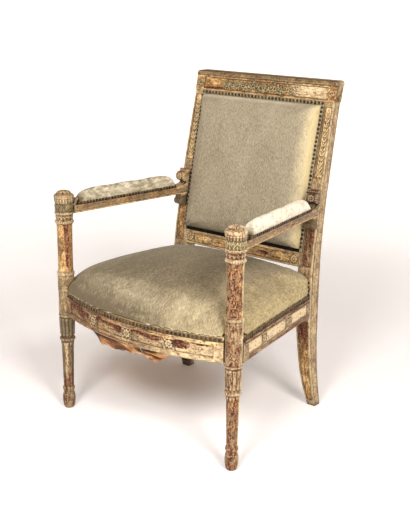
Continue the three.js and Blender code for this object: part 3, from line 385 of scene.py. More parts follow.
def velvet(name, shades, nap, worn_shade, sheen, cloudy, slub, rub=(1.15, 1.75)):
    """Pile that is brushed one way and pale where it is rubbed through, with painted light and shade:
    lighter or darker by its tone field, warmer where painted light falls on a side, and darker with soil
    and painted shade.
    """
    s = Shader(name, 0.92, 0.1)
    streak = s.noise(s.stretch(nap), slub, 5, 0.65, 0.2)
    cloud = s.noise(s.stretch(tuple(0.4 + 0.6 * n for n in nap)), 16, 5, 0.62, 0.5)
    weave = s.noise(s.place, 1300, 2, 0.5)
    # the tone field holds painted light and shade
    lean = s.sum((streak, 0.85 - cloudy), (cloud, cloudy), (weave, 0.15), (s.field("tone"), 0.2))
    pile = s.ramp(lean, *zip(PILE_PLACES, shades))
    # Painted light: a warm tint on the sides that face the light
    pile = s.mix(s.times(s.field("flank"), 0.5), pile, s.mix(1.0, pile, "fff0bd", "MULTIPLY"))
    worn = s.field("worn")
    patch = s.noise(s.place, 60, 5, 0.7, 0.6)
    thread = s.between(s.sum(worn, (streak, 0.9), (patch, 0.9)), *rub)
    base = s.mix(thread, pile, worn_shade)
    # darker with soil and painted shade
    base = s.mix(s.times(s.field("soil"), s.between(cloud, 0.35, 0.6, 0.5, 1.0)), base, "4d4029")
    s.surface.inputs["Sheen Weight"].default_value = sheen
    s.surface.inputs["Sheen Roughness"].default_value = 0.42
    s.surface.inputs["Sheen Tint"].default_value = colour("f4ecd6")
    s.bump(s.sum((streak, 0.8), (weave, 0.6), (thread, -0.3)), 0.35, 0.4)
    return s.done(base)


def woven(name, dark, light, thread):
    """Coarse cloth of two crossing threads of that pitch in millimetres."""
    s = Shader(name, 0.9, 0.15)
    scale = 1 / (thread * MM) / TAU * math.pi
    waves = [s.wave(s.place, scale, axis, 0.4) for axis in "XYZ"]
    cloth = s.sum(*zip(waves, (0.4, 0.4, 0.2)))
    dust = s.noise(s.place, 40, 4, 0.6)
    base = s.mix(s.between(s.sum((cloth, 0.6), (dust, 0.5)), 0.3, 0.8), dark, light)
    s.bump(cloth, 0.6, thread / 3)
    return s.done(base)


def fine_cloth(name, dark, light):
    """Cloth whose threads are too fine to be told apart."""
    s = Shader(name, 0.9, 0.15)
    grain = s.noise(s.place, 900, 2, 0.6)
    dust = s.noise(s.place, 40, 4, 0.6)
    base = s.mix(s.between(s.sum((grain, 0.5), (dust, 0.6)), 0.4, 0.7), dark, light)
    s.bump(grain, 0.4, 0.3)
    return s.done(base)


def torn_hide(name):
    """Brown leather, patchy and cracked, and darker in places."""
    s = Shader(name, 0.7, 0.3)
    patch = s.noise(s.stretch((0.35, 0.35, 1.0)), 34, 5, 0.6, 0.5)
    crack = s.cells(s.place, 260)
    hide = s.ramp(patch, *HIDE_STOPS)
    base = s.mix(s.between(s.sum(s.field("soil"), (patch, 0.6)), 0.75, 1.1), hide, "2f2018")
    s.bump(s.between(crack, 0.0, 0.12), 0.25, 0.4)
    return s.done(base)


def nail_metal(name):
    """Dark bronze that differs from one nail to the next."""
    s = Shader(name, 0.42, 0.5)
    metal = s.ramp(s.sum(s.field("tone"), (s.noise(s.place, 500, 4, 0.6), 0.5)), *NAIL_STOPS)
    s.surface.inputs["Metallic"].default_value = 0.45
    s.bump(s.noise(s.place, 700, 3, 0.6), 0.25, 0.3)
    # darker where the mesh bends inwards, for dirt and painted shade
    return s.done(s.mix(s.times(s.field("crevice"), 0.8), metal, "17110b"))


def braid(name, *shades):
    """Twilled trimming, in a dark, a middle and a light shade."""
    s = Shader(name, 0.9, 0.15)
    twill = s.wave(s.stretch((1, 1, 1), (0.6, 0.5, 0.7)), 190, "DIAGONAL", 0.5)
    dust = s.noise(s.place, 60, 4, 0.6)
    base = s.ramp(s.sum((twill, 0.45), (dust, 0.55)), *zip(BRAID_PLACES, shades))
    s.bump(twill, 0.6, 0.6)
    return s.done(base)


POST_PAINT = painted("post_paint", (1.0, 1.0, 0.45), 0.1, 0.15)
POST_PAINT_LEFT = painted("post_paint_left", ALONG_Z, 0.06, 0.15, 0.05)
LEG_PAINT = painted("leg_paint", ALONG_Z, -0.02, 0.1)
RAIL_PAINT = painted("rail_paint", ALONG_X, 0.0, 0.15)
SIDE_PAINT = painted("side_rail_paint", ALONG_Y, -0.04, 0.05, 0.0, 0.03)
CREST_PAINT = painted("crest_paint", ALONG_X, -0.04, 0.2)
ARM_PAINT = painted("arm_paint", ALONG_Y, 0.02, 0.3, 0.05)
RAW_WOOD = bare_wood("bare_wood", ALONG_X)
SEAT_VELVET = velvet(
    "seat_velvet", ("665b47", "8b7f66", "a5997d", "c9bf9f"), nap=(1.0, 0.35, 0.35), worn_shade="ded4b8",
    sheen=0.2, cloudy=0.26, slub=300,
)
BACK_VELVET = velvet(
    "back_velvet", ("685f4b", "877d67", "9b917a", "bdb39a"), nap=(1.0, 1.0, 0.3), worn_shade="e6dccb",
    sheen=0.2, cloudy=0.2, slub=400,
)
PAD_VELVET = velvet(
    "pad_velvet", ("5e543f", "8b8068", "b4aa8f", "dad2bc"), nap=(1.0, 0.4, 1.0), worn_shade="e2d9c6",
    sheen=0.15, cloudy=0.3, slub=110, rub=(1.25, 1.6),
)
BRAID = braid("gimp_braid", "5d4f36", "8f8062", "bcae8b")
DARK_BRAID = braid("dark_braid", "443421", "745f3f", "9c8660")
NAIL_METAL = nail_metal("nail_bronze")
# near-black cloth that stands for the shadow in the gap under the back cushion
SHADOW_SHEET = fine_cloth("near_black_shadow", "0d0a07", "241c14")
BURLAP = woven("burlap_weave", "5f4c2c", "a98f5e", 2.4)
JUTE = woven("webbing_weave", "6e572f", "b79b66", 3.0)
LINING = fine_cloth("lining_weave", "2e261d", "5a4c3a")
HIDE = torn_hide("torn_hide")


# Meshes
EDGE_BLUR = 2.0
EDGE_WIDTH = 3.2
CREASE = 38  # degrees
SMOOTH = 180  # the crease of a piece that is smooth all over


def quads(rows, columns, around=False, start=0):
    """The faces of a grid of points that is stored row by row."""
    i, j = np.meshgrid(np.arange(rows - 1), np.arange(columns if around else columns - 1), indexing="ij")
    k = (j + 1) % columns
    faces = np.stack([i * columns + j, i * columns + k, (i + 1) * columns + k, (i + 1) * columns + j], -1)
    return (start + faces.reshape(-1, 4)).tolist()


def loft(rings):
    """A closed skin over rings of points, with its two ends capped."""
    rows, columns, _ = rings.shape
    faces = quads(rows, columns, True)
    faces.append(list(range(columns)))
    faces.append(list(range((rows - 1) * columns, rows * columns)))
    return rings.reshape(-1, 3), faces


def joined(*parts):
    """One list of points and faces from several."""
    points, faces, start = [], [], 0
    for some_points, some_faces in parts:
        points.append(np.asarray(some_points, float).reshape(-1, 3))
        faces.extend([[start + i for i in face] for face in some_faces])
        start += len(points[-1])
    return np.concatenate(points), faces


def mirrored(part):
    """The same part on the chair's other side."""
    points, faces = part
    return points * (-1, 1, 1), [face[::-1] for face in faces]


def edge_ends(mesh):
    """The two vertices of every edge."""
    ends = np.empty(len(mesh.edges) * 2, int)
    mesh.edges.foreach_get("vertices", ends)
    return ends[0::2], ends[1::2]


def vectors(data, kind):
    """The places or the normals of a mesh's vertices."""
    values = np.empty(len(data) * 3)
    data.foreach_get(kind, values)
    return values.reshape(-1, 3)


def spread(values, a, b, weights, rounds):
    """Values at the vertices, averaged a few times with those at the other ends of their edges."""
    size = len(values)
    whole = np.bincount(a, weights, size) + np.bincount(b, weights, size) + 1
    for _ in range(rounds):
        total = np.bincount(a, values[b] * weights, size) + np.bincount(b, values[a] * weights, size)
        values = (values + total) / whole
    return values


def bends(mesh):
    """How sharply the surface bends at each vertex, per millimetre, and negative where it bends inwards."""
    points = vectors(mesh.vertices, "co") / MM
    normals = vectors(mesh.vertices, "normal")
    a, b = edge_ends(mesh)
    step = points[b] - points[a]
    squares = np.maximum((step**2).sum(1), 1e-6)
    bend = ((normals[b] - normals[a]) * step).sum(1) / squares
    size = len(points)
    count = np.maximum(np.bincount(a, minlength=size) + np.bincount(b, minlength=size), 1)
    bend = (np.bincount(a, bend, size) + np.bincount(b, bend, size)) / count
    return spread(bend, a, b, 1 / (1 + squares / EDGE_BLUR**2), 2)


def set_fields(mesh, **fields):
    """Stores values at a mesh's vertices for the materials to read."""
    for name, values in fields.items():
        layer = mesh.attributes.new(name, "FLOAT", "POINT")
        layer.data.foreach_set("value", np.asarray(values, np.float32).ravel())


def new_mesh(name, part, crease):
    """A mesh from points in millimetres and faces, smooth but where it bends by more than the crease."""
    points, faces = part
    mesh = bpy.data.meshes.new(name)
    mesh.from_pydata((np.asarray(points) * MM).tolist(), [], faces)
    work = bmesh.new()
    work.from_mesh(mesh)
    bmesh.ops.recalc_face_normals(work, faces=work.faces)
    work.to_mesh(mesh)
    work.free()
    mesh.shade_smooth()
    mesh.set_sharp_from_angle(angle=math.radians(crease))
    return mesh


def finish(piece, material, replaces):
    """Gives a piece its material, hangs it under the root body and hides the solids it replaces."""
    piece.data.materials.clear()
    piece.data.materials.append(material)
    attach(piece, "root")
    if replaces:
        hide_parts(*replaces)
    return piece


def make(name, part, material, replaces=(), fields=None, crease=CREASE):
    """A piece of the chair from points in millimetres and faces."""
    mesh = new_mesh(name, part, crease)
    fields = dict(fields or {})
    # edge, where the surface bends outwards, is for painted highlights; the darkness where it bends
    # inwards, with the fields' hollow values added, is for dirt and painted shade
    bend = bends(mesh) * EDGE_WIDTH
    raised, sunken = np.clip(bend, 0, 1), np.clip(-bend, 0, 1)
    ridge, hollow = (np.ravel(fields.pop(field, 0.0)) for field in ("ridge", "hollow"))
    set_fields(mesh, edge=raised + ridge * (1 - raised), crevice=sunken + hollow * (1 - sunken), **fields)
    return finish(add_object(name, mesh), material, replaces)


def make_pair(name, part, material, fields, left_fields=None):
    """The same piece on both sides, each standing for the solid of its own side."""
    for side, solid in (("right", part), ("left", mirrored(part))):
        own = {**fields, **(left_fields or {})} if side == "left" else fields
        make(f"{name}_{side}_worn", solid, material, [f"{name}_{side}"], own)


# Carving: relief made of rounded strokes
def along(stroke):
    """Close points on a stroke, as place, radius and height. Up to three points are a smooth curve."""
    stroke = np.asarray(stroke, float)
    if len(stroke) == 1 or len(stroke) > 3:
        return stroke
    t = np.linspace(0, 1, 14)[:, None]
    if len(stroke) == 2:
        return stroke[0] * (1 - t) + stroke[1] * t
    return stroke[0] * (1 - t) ** 2 + stroke[1] * 2 * t * (1 - t) + stroke[2] * t**2


def carve(u, v, strokes):
    """The height of the strokes at places across and up a face."""
    u, v = np.broadcast_arrays(u, v)
    height = np.zeros(u.shape)
    for stroke in strokes:
        points = along(stroke)
        reach = points[:, 2].max()
        low, high = points[:, :2].min(0) - reach, points[:, :2].max(0) + reach
        near = (u > low[0]) & (u < high[0]) & (v > low[1]) & (v < high[1])
        if not near.any():
            continue
        distance = (u[near][:, None] - points[:, 0]) ** 2 + (v[near][:, None] - points[:, 1]) ** 2
        rise = points[:, 3] * np.sqrt(np.clip(1 - distance / points[:, 2] ** 2, 0, 1))
        height[near] = np.maximum(height[near], rise.max(1))
    return height


def soften(grid, rounds, around=False):
    """A grid of values, each averaged with its four neighbours a few times."""
    for _ in range(rounds):
        wide = np.pad(grid, ((1, 1), (0, 0)), "edge")
        wide = np.pad(wide, ((0, 0), (1, 1)), "wrap" if around else "edge")
        ends = wide[:-2, 1:-1] + wide[2:, 1:-1] + wide[1:-1, :-2] + wide[1:-1, 2:]
        grid = (grid + ends) / 5
    return grid


def carved_fields(relief, around=False):
    """Where a carving is hollow and where it stands up, from 0 to 1."""
    rise = relief - soften(relief, 6, around)
    return {"hollow": np.clip(-rise / 0.45, 0, 1), "ridge": np.clip(rise / 0.9, 0, 0.8)}


def palmette(u, v, height, half, relief, lobes=5, turn=0.0):
    """A fan of lobes that rises from one point."""
    strokes = []
    arm = lobes // 2
    for k in range(-arm, arm + 1):
        lean = k / arm
        reach = height * (1 - 0.3 * abs(lean))
        side, up = lean * half, reach
        bow_side, bow_up = lean * half * 0.25, reach * 0.6
        ends = [(0, 0), (bow_side, bow_up), (side, up)]
        spots = [
            (u + x * math.cos(turn) - y * math.sin(turn), v + x * math.sin(turn) + y * math.cos(turn))
            for x, y in ends
        ]
        width = half / lobes
        strokes.append([
            (*spots[0], width * 0.6, relief * 0.5), (*spots[1], width, relief), (*spots[2], width, relief),
        ])
    return strokes


def rosette(u, v, radius, petals, relief):
    """Petals round a button."""
    strokes = [[(u, v, radius * 0.26, relief * 1.15)]]
    for k in range(petals):
        angle = TAU * k / petals
        x, y = math.cos(angle), math.sin(angle)
        width = radius * math.sin(math.pi / petals) * 0.82
        strokes.append([
            (u + x * radius * 0.35, v + y * radius * 0.35, width * 0.6, relief * 0.6),
            (u + x * radius * 0.75, v + y * radius * 0.75, width, relief),
        ])
    return strokes


def volute(u, v, size, turns, start, hand, width, relief):
    """A spiral that winds in to its eye."""
    t = np.linspace(0, 1, 48)
    radius = size * (1 - t) ** 0.8 * 0.9 + size * 0.1
    angle = start + hand * TAU * turns * t
    points = np.stack([
        u + radius * np.cos(angle), v + radius * np.sin(angle), width * (1 - 0.45 * t), relief + 0 * t,
    ], 1)
    return [points, [(u, v, size * 0.24, relief * 1.2)]]


def smooth_line(places, values):
    """A smooth line through values at places."""
    places, values = np.asarray(places, float), np.asarray(values, float)
    slopes = np.gradient(values, places)

    def at(place):
        place = np.clip(place, places[0], places[-1])
        i = np.clip(np.searchsorted(places, place, side="right") - 1, 0, len(places) - 2)
        span = places[i + 1] - places[i]
        t = (place - places[i]) / span
        rise = t * t * (3 - 2 * t)
        lean = t * (1 - t) ** 2 * slopes[i] + t * t * (t - 1) * slopes[i + 1]
        return values[i] + (values[i + 1] - values[i]) * rise + span * lean

    return at


def stations(breaks, step, lip=1.2):
    """Places from the first break to the last, at most a step apart and doubled at each break."""
    marks = sorted(set(breaks))
    inner = [m + side * lip for m in marks[1:-1] for side in (-0.5, 0.5)]
    marks = [marks[0], *inner, marks[-1]]
    places = [marks[0]]
    for a, b in zip(marks, marks[1:]):
        count = max(1, math.ceil((b - a) / step))
        places.extend(a + (b - a) * (i + 1) / count for i in range(count))
    return np.array(places)


def sunk(s, t, s0, s1, t0, t1, lip=1.2):
    """1 inside a panel and 0 outside it, with a short slope between."""
    inside = np.minimum(np.minimum(s - s0, s1 - s), np.minimum(t - t0, t1 - t))
    return np.clip(inside / lip + 0.5, 0, 1)


def lined(s, t, s0, s1, t0, t1, width=4.5):
    """1 on the outline of a panel and 0 away from it."""
    share = sunk(s, t, s0, s1, t0, t1, width)
    return 4 * share * (1 - share)


def rounded(t, low, high, height):
    """The height of a half-round moulding that runs from low to high."""
    share = np.clip((t - low) / (high - low), 0, 1)
    return height * np.sqrt(np.clip(1 - (2 * share - 1) ** 2, 0, 1))


# Rear legs' lines against height
LEG_HEIGHTS = np.array([0, 0.05, 0.1, 0.2, 0.305, 0.41, 0.5, 0.62, 0.76, 0.88, 1]) * CHAIR_HEIGHT
LEG_FRONT_SHARES = np.array([0.445, 0.318, 0.218, 0.073, 0.009, 0.009, 0.082, 0.272, 0.51, 0.75, 1])
LEG_DEPTH_SHARES = np.array([0.62, 0.71, 0.76, 0.88, 0.99, 1, 0.93, 0.78, 0.77, 0.73, 0.67])
LEG_TAPER_SHARES = np.array([1, 0.69, 0.45, 0.25, 0.04, 0, 0, 0, 0, 0, 0])
LEG_LEAN_SHARES = np.array([0, 0, 0, 0, 0, 0.07, 0.21, 0.4, 0.62, 0.81, 1])
LEG_SEAT_Y = POST_Y + 418.0
LEG_RAKE = 110.0
LEG_DEPTH = 45.0
LEG_INNER = 206.5
LEG_OUTER = 256.0
LEG_TAPER = 22.5
LEG_LEAN = 10.0
leg_front = smooth_line(LEG_HEIGHTS, LEG_SEAT_Y + LEG_RAKE * LEG_FRONT_SHARES)
leg_depth = smooth_line(LEG_HEIGHTS, LEG_DEPTH * LEG_DEPTH_SHARES)
leg_inner = smooth_line(LEG_HEIGHTS, LEG_INNER + LEG_TAPER * LEG_TAPER_SHARES)
leg_outer = smooth_line(LEG_HEIGHTS, LEG_OUTER - LEG_LEAN * LEG_LEAN_SHARES)


def leg_back(z):
    """The depth of the rear legs' back faces at a height."""
    return leg_front(z) + leg_depth(z)


LEG_PANELS = [(19.0, 276.0, 6.0), (438.0, 556.0, 14.5), (686.0, 880.0, 14.5)]  # bottom, top and inset
LEG_BORDER = 6.5
LEG_EDGE = 2.2
LEG_SINK = 2.6


def leaf_run(low, high, half):
    """Small paired leaves up a narrow panel, with a bud between each pair."""
    strokes = [[(0, low, 1.1, 1.3), (0, high, 1.1, 1.3)]]
    for z in np.arange(low + 4, high - 10, 13.0):
        for side in (-1, 1):
            strokes.append([
                (0, z, 1.5, 1.2), (side * half * 0.8, z + 2, 2.2, 2.0), (side * half, z + 8.5, 1.4, 1.4),
            ])
        strokes.append([(0, z + 6.5, 2.3, 2.2)])
    return strokes


def leg_ring(z, motif):
    """A rear leg's section at a height, and the carving's height at each of its points."""
    inner, outer, front, back = leg_inner(z), leg_outer(z), leg_front(z), leg_back(z)
    inset = next((e for a, b, e in LEG_PANELS if a - 20 < z < b + 20), LEG_PANELS[-1][2])
    left, right = inner + inset, outer - LEG_BORDER
    spots = np.concatenate([
        [inner + LEG_EDGE, (inner + left) / 2, left - 0.6], np.linspace(left + 0.6, right - 0.6, 14),
        [right + 0.6, outer - LEG_EDGE],
    ])
    depth = highest(*(LEG_SINK * sunk(spots, z, left, right, low, high) for low, high, _ in LEG_PANELS))
    relief = carve(spots - (left + right) / 2, np.full(len(spots), z), motif)
    ring = [(x, front + d) for x, d in zip(spots, depth - relief)]
    ring += [(outer - 0.6, front + 0.5), (outer, front + LEG_EDGE)]
    ring += [(outer, front + (back - front) * share) for share in (0.15, 0.3, 0.5, 0.7, 0.85)]
    ring += [(outer, back - LEG_EDGE), (outer - 0.6, back - 0.5), (outer - LEG_EDGE, back)]
    ring += [((inner + outer) / 2, back), (inner + LEG_EDGE, back), (inner + 0.6, back - 0.5)]
    ring += [(inner, back - LEG_EDGE), (inner, (front + back) / 2), (inner, front + LEG_EDGE)]
    ring += [(inner + 0.6, front + 0.5)]
    return [(x, y, z) for x, y in ring], np.pad(relief, (0, len(ring) - len(spots)))


def make_legs():
    """Sabre legs with raked stiles and sunk panels on their front faces."""
    ends = [z for panel in LEG_PANELS for z in panel[:2]]
    heights = stations([0, *ends, CREST_BOTTOM - 0.5], 2.4)
    motif = leaf_run(692, 874, 7.0)
    rings, reliefs = (np.array(values) for values in zip(*(leg_ring(z, motif) for z in heights)))
    part = loft(rings)
    x, y, z = part[0].T
    in_front = y < leg_front(z) + 6
    right = leg_outer(z) - LEG_BORDER
    panels = [(x, z, leg_inner(z) + inset, right, low, high) for low, high, inset in LEG_PANELS]
    in_panel = highest(*(sunk(*panel) * in_front for panel in panels))
    outline = highest(*(lined(*panel) * in_front for panel in panels))
    on_side = slope(x, leg_outer(z) - 3, 3)
    share = (y - leg_front(z)) / leg_depth(z)
    # Painted shade: dark lines near the front and back edges of the outer side
    edge_shade = on_side * (bell(share, 0.15, 0.08) + bell(share, 0.85, 0.08))
    lower, middle, upper = (in_panel * ((z > low) & (z < high)) for low, high, _ in LEG_PANELS)
    shading = carved_fields(reliefs)
    carved = shading["hollow"].ravel() * (1 - 0.2 * upper)
    # darker hollows, dark lines round the panels, the painted shade on the side, and darker towards the
    # foot
    hollow = highest(carved, 0.6 * outline, 0.75 * edge_shade, 0.6 * slope(z, 26, -20))
    fields = {
        "wear": lower * (0.02 + 0.45 * bell(z, 245, 50)) + 0.28 * middle - 0.02 * upper - 0.08 * on_side,
        "gild": 0.7 * lower + 0.5 * upper + 0.1,
        "leaf": 0.35 * upper * (reliefs.ravel() > 0.1),
        "pale": 0.15 * on_side + 0.65 * upper + 0.1 * lower,
        "ridge": shading["ridge"],
        "hollow": hollow,
    }
    shadow = np.clip((345 - z) / 60, 0, 0.95) * np.clip(1.1 - share, 0, 1) * (1 - on_side)
    left_fields = {
        "wear": fields["wear"] - 0.25 * middle,
        "gild": fields["gild"] + 0.5 * middle,
        "hollow": np.maximum(hollow, shadow),
    }
    make_pair("rear_leg", part, LEG_PAINT, fields, left_fields)


# Front posts: height, radius, and how far the stretch up to the next point bulges
POST_TURNING = [
    (0, 11.8, 0), (1.2, 13.2, 0), (4, 14.9, 0.9), (26, 18.0, 0.7), (44, 16.8, -0.5), (54.5, 15.2, 2.6),
    (66, 15.2, 0), (69, 14.6, 0), (205, 17.4, 0), (209, 18.4, 3.6), (221, 18.6, 0), (225, 19.2, 0),
    (282.5, 21.2, 0), (283.5, 21.2, 2.2), (290.5, 21.4, 0), (292, 22.2, 0), (361, 22.2, 0),
    (363, 23.2, 0), (403, 23.3, 0), (406.5, 22.2, 3.0), (417, 22.0, 0), (420, 21.4, 0), (471, 20.8, 0),
    (549, 21.8, 0), (556.5, 22.2, 3.8), (568.5, 22.4, 0), (571.5, 23.2, 0), (583, 23.4, 0),
    (584, 24.4, 2.6), (591.5, 24.6, 0), (593.5, 24.6, 0), (617, 24.6, 0), (628, 26.6, 0),
    (629, 26.0, 2.2), (639, 26.0, 0), (640, 24.6, -0.6), (644, 20.0, 1.0), (649.6, 7.0, 0), (650, 0.4, 0),
]
POST_SIDES = 120


def turned(turning, step):
    """Points of height and radius along a turned outline."""
    points = []
    for (z0, r0, bulge), (z1, r1, _) in zip(turning, turning[1:]):
        count = max(8 if bulge else 1, math.ceil(math.hypot(z1 - z0, r1 - r0) / step))
        t = np.arange(count) / count
        swell = bulge * np.sqrt(np.clip(1 - (2 * t - 1) ** 2, 0, 1))
        points.extend(zip(z0 + (z1 - z0) * t, r0 + (r1 - r0) * t + swell))
    points.append(turning[-1][:2])
    return np.array(points)


def sector(angle, count, radius):
    """Distance round a ring from the middle of the nearest of so many equal sectors."""
    wide = TAU / count
    return (np.mod(angle, wide) - wide / 2) * radius


# Strokes of a small motif between two leaves
BETWEEN_LEAVES = [[(0, 596, 1.6, 1.2), (0, 606, 1.6, 1.4)], [(0, 611, 2.6, 1.6)]]
# Carved rings round a post: how many of a motif, the radius they are measured at, and the motif
POST_CARVING = {
    "reeds": (12, 20, [[(0, 231, 4.7, 1.7), (0, 276, 5.0, 1.7)]]),
    "reed tips": (12, 20, [[(0, 199, 3.2, 1.1), (0, 203, 4.4, 1.3)]]),
    "small leaves": (14, 23.5, palmette(0, 571, 11, 4.2, 1.1, 3)),
    "leaves": (8, 25, palmette(0, 595, 20, 8.4, 2.0, 5)),
    "flare": (20, 26, [[(0, 619, 3.2, 1.0), (0, 626.5, 3.6, 1.2)]]),
    "beads": (26, 24, [[(0, 562.5, 2.6, 1.0)]]),
    "lower beads": (16, 19, [[(0, 215, 3.1, 0.8)]]),
}


def post_relief(angle, z, radius):
    """The carving's height round a post and on its top."""
    relief = {
        name: carve(sector(angle, count, at), z, motif) for name, (count, at, motif) in POST_CARVING.items()
    }
    between = carve(sector(angle + TAU / 16, 8, 25), z, BETWEEN_LEAVES)
    relief["leaves"] = np.maximum(relief["leaves"], between)
    top = carve(radius * np.cos(angle), radius * np.sin(angle), rosette(0, 0, 20, 10, 2.2)) * (z > 640)
    return sum(relief.values()) + top


def make_posts():
    profile = turned(POST_TURNING, 1.7)
    step = np.gradient(profile, axis=0)
    normal = unit(np.stack([-step[:, 1], step[:, 0]], 1))
    angle = np.arange(POST_SIDES) / POST_SIDES * TAU
    z, r = profile[:, :1], profile[:, 1:]
    relief = post_relief(angle[None, :], z + 0 * angle, r + 0 * angle)
    radius = r + normal[:, 1:] * relief
    height = z + normal[:, :1] * relief
    rings = np.stack([POST_X + radius * np.cos(angle), POST_Y + radius * np.sin(angle), height], -1)
    part = loft(rings)

    def ring(low, high):
        return ((z > low) & (z < high)) + 0.0 * angle

    def streak(degrees, width, low=0, high=POST_TOP):
        """A stripe up the post at that angle."""
        away = np.mod(angle - math.radians(degrees) + math.pi, TAU) - math.pi
        return bell(away, 0, width) * ring(low, high)

    foot, reeds, neck, capital = ring(-1, 66), ring(225, 282), ring(569, 592), ring(592, 618)
    cap, rim, plain = ring(626, 652), ring(627, 634), ring(70, 205) + ring(420, 550)
    thin_rims = ring(590, 594) + ring(563, 569)
    shading = carved_fields(relief, True)
    hollow = shading.pop("hollow") * (1 - 0.5 * capital)
    # Painted shade in stripes up the post where its sides turn away, with darker rings at the capital and
    # under the cap
    shade_and_dirt = 0.55 * streak(45, 0.12) + 0.4 * streak(212, 0.12) + 0.2 * capital + 0.35 * ring(614, 625)
    # The pale stripes at 22 and 222 degrees, with less wear on them, are painted highlights
    right = {
        "wear": 0.12 + 0.07 * plain + 0.1 * foot + 0.08 * reeds - 0.14 * capital + 0.14 * neck - 0.04 * cap
                - 0.3 * streak(22, 0.3) - 0.16 * streak(222, 0.22) - 0.3 * thin_rims,
        "gild": 0.3 * capital + 0.2 * cap + 0.35 * plain,
        "leaf": 0.6 * capital,
        "pale": 0.6 * streak(22, 0.3) + 0.4 * streak(222, 0.22) + 0.2 * rim + 0.45 * cap + 0.5 * thin_rims
                + 0.2 * neck - 0.3 * capital,
        "hollow": np.maximum(hollow, shade_and_dirt),
    }
    # The pale stripe down the leg, with less wear on it, is a painted highlight
    leg_streak = streak(238, 0.24, 95, 205)
    # Painted shade in stripes up the sides, with darker reeds, foot, capital and top
    shade_and_dirt = 0.5 * reeds + 0.4 * foot + 0.55 * streak(165, 0.45, 70, 205) + 0.4 * streak(305, 0.35, 70, 205)
    shade_and_dirt += 0.3 * capital + 0.2 * ring(571, 650) + 0.45 * (streak(321, 0.14) + streak(142, 0.14))
    left = {
        "wear": 0.02 + 0.55 * streak(207, 0.22, 436, 556) - 0.4 * leg_streak + 0.25 * ring(66, 110)
                + 0.12 * foot - 0.1 * capital + 0.05 * neck,
        "gild": 0.3 * capital + 0.6 * ring(420, 556) + 0.3 * cap,
        "leaf": 0.45 * capital + 0.4 * reeds + 0.3 * ring(283, 403),
        "pale": 1.7 * leg_streak - 0.7 * ring(66, 282) + 0.05 * ring(420, 556) + 0.5 * rim
                + 0.3 * thin_rims,
        "hollow": np.maximum(hollow, shade_and_dirt),
    }
    for side, solid, paint, fields in (
        ("right", part, POST_PAINT, right), ("left", mirrored(part), POST_PAINT_LEFT, left),
    ):
        name = f"front_post_{side}"
        make(f"{name}_worn", solid, paint, [name], {**fields, **shading})


# Seat rails
RAIL_FILLETS = (15.0, 11.0)  # the mouldings below and above the panels
PANEL_LOW = RAIL_BOTTOM + RAIL_FILLETS[0]
PANEL_HIGH = RAIL_TOP - RAIL_FILLETS[1]
PANEL_SINK = 3.0


def rail_face(s, z, panels, blocks):
    """How far the outer face stands out at places along and up a seat rail."""
    out = rounded(z, RAIL_BOTTOM, PANEL_LOW - 2, 1.6) - 1.6
    out = np.where(z > PANEL_LOW - 2, 0.0, out)
    out = np.where(z > PANEL_HIGH + 1, rounded(z, PANEL_HIGH + 1, RAIL_TOP, 1.3) - 1.3, out)
    sink = outline = relief = np.zeros(np.broadcast(s, z).shape)
    for start, end in panels:
        sink = np.maximum(sink, sunk(s, z, start, end, PANEL_LOW, PANEL_HIGH))
        outline = np.maximum(outline, lined(s, z, start, end, PANEL_LOW, PANEL_HIGH))
    heart = (PANEL_LOW + PANEL_HIGH) / 2
    for middle, width in blocks:
        half = width / 2
        field = sunk(s, z, middle - half + 3, middle + half - 3, PANEL_LOW + 1, PANEL_HIGH - 1)
        sink = np.maximum(sink, 0.7 * field)
        motif = rosette(middle, heart, min(half, 15) - 3.5, 8, 2.4)
        motif += [[(middle + a * (half - 5), heart + b * 10.5, 2.6, 1.6)] for a in (-1, 1) for b in (-1, 1)]
        relief = np.maximum(relief, carve(s, z, motif))
    return out - PANEL_SINK * sink + relief, sink, relief, outline


def padded(values, rings):
    """Values on the carved face, with zeros for the other points of each ring."""
    return np.pad(values, ((0, 0), (0, rings.shape[1] - values.shape[1])))


def rail_rings(s, place, panels, blocks):
    """Rings of a seat rail's section, from its foot up its face and back over the rabbet."""
    marks = [RAIL_BOTTOM, PANEL_LOW - 2, PANEL_LOW, PANEL_HIGH, PANEL_HIGH + 1, RAIL_TOP]
    z = stations(marks, 1.6, 0.8)
    out, sink, relief, outline = rail_face(s[:, None], z[None, :], panels, blocks)
    face = np.stack([*place(s[:, None], out), z + 0 * out], -1)
    section = [
        (-RABBET_DEPTH, RAIL_TOP + 0.3), (-RABBET_DEPTH, RABBET_TOP - 1), (-RABBET_DEPTH - 1, RABBET_TOP),
        (-RAIL_THICKNESS + 1, RABBET_TOP), (-RAIL_THICKNESS, RABBET_TOP - 1),
        (-RAIL_THICKNESS, (RAIL_BOTTOM + RABBET_TOP) / 2), (-RAIL_THICKNESS, RAIL_BOTTOM + 1.5),
        (-RAIL_THICKNESS + 1.5, RAIL_BOTTOM), (-RAIL_THICKNESS / 2, RAIL_BOTTOM),
    ]
    back = [np.stack([*place(s, n + 0 * s), height + 0 * s], -1) for n, height in section]
    rings = np.concatenate([face, np.stack(back, 1)], 1)
    shading = carved_fields(relief)
    # Painted shade: dark lines along the rail's top edge, under the seat, and along its foot, with dark
    # lines round the panels
    edges = bell(z, RAIL_BOTTOM, 2.5) + bell(z, RAIL_TOP, 1.6) + 0 * sink
    shading["hollow"] = highest(shading["hollow"], 0.62 * outline, 0.7 * edges)
    shading = {field: padded(values, rings) for field, values in shading.items()}
    return rings, padded(sink, rings), padded(relief, rings), shading


def arc_place(s, out):
    """The place that far along the front rail's bow and out of its face."""
    angle = s / RAIL_RADIUS
    return (RAIL_RADIUS + out) * np.sin(angle), RAIL_CENTRE - (RAIL_RADIUS + out) * np.cos(angle)


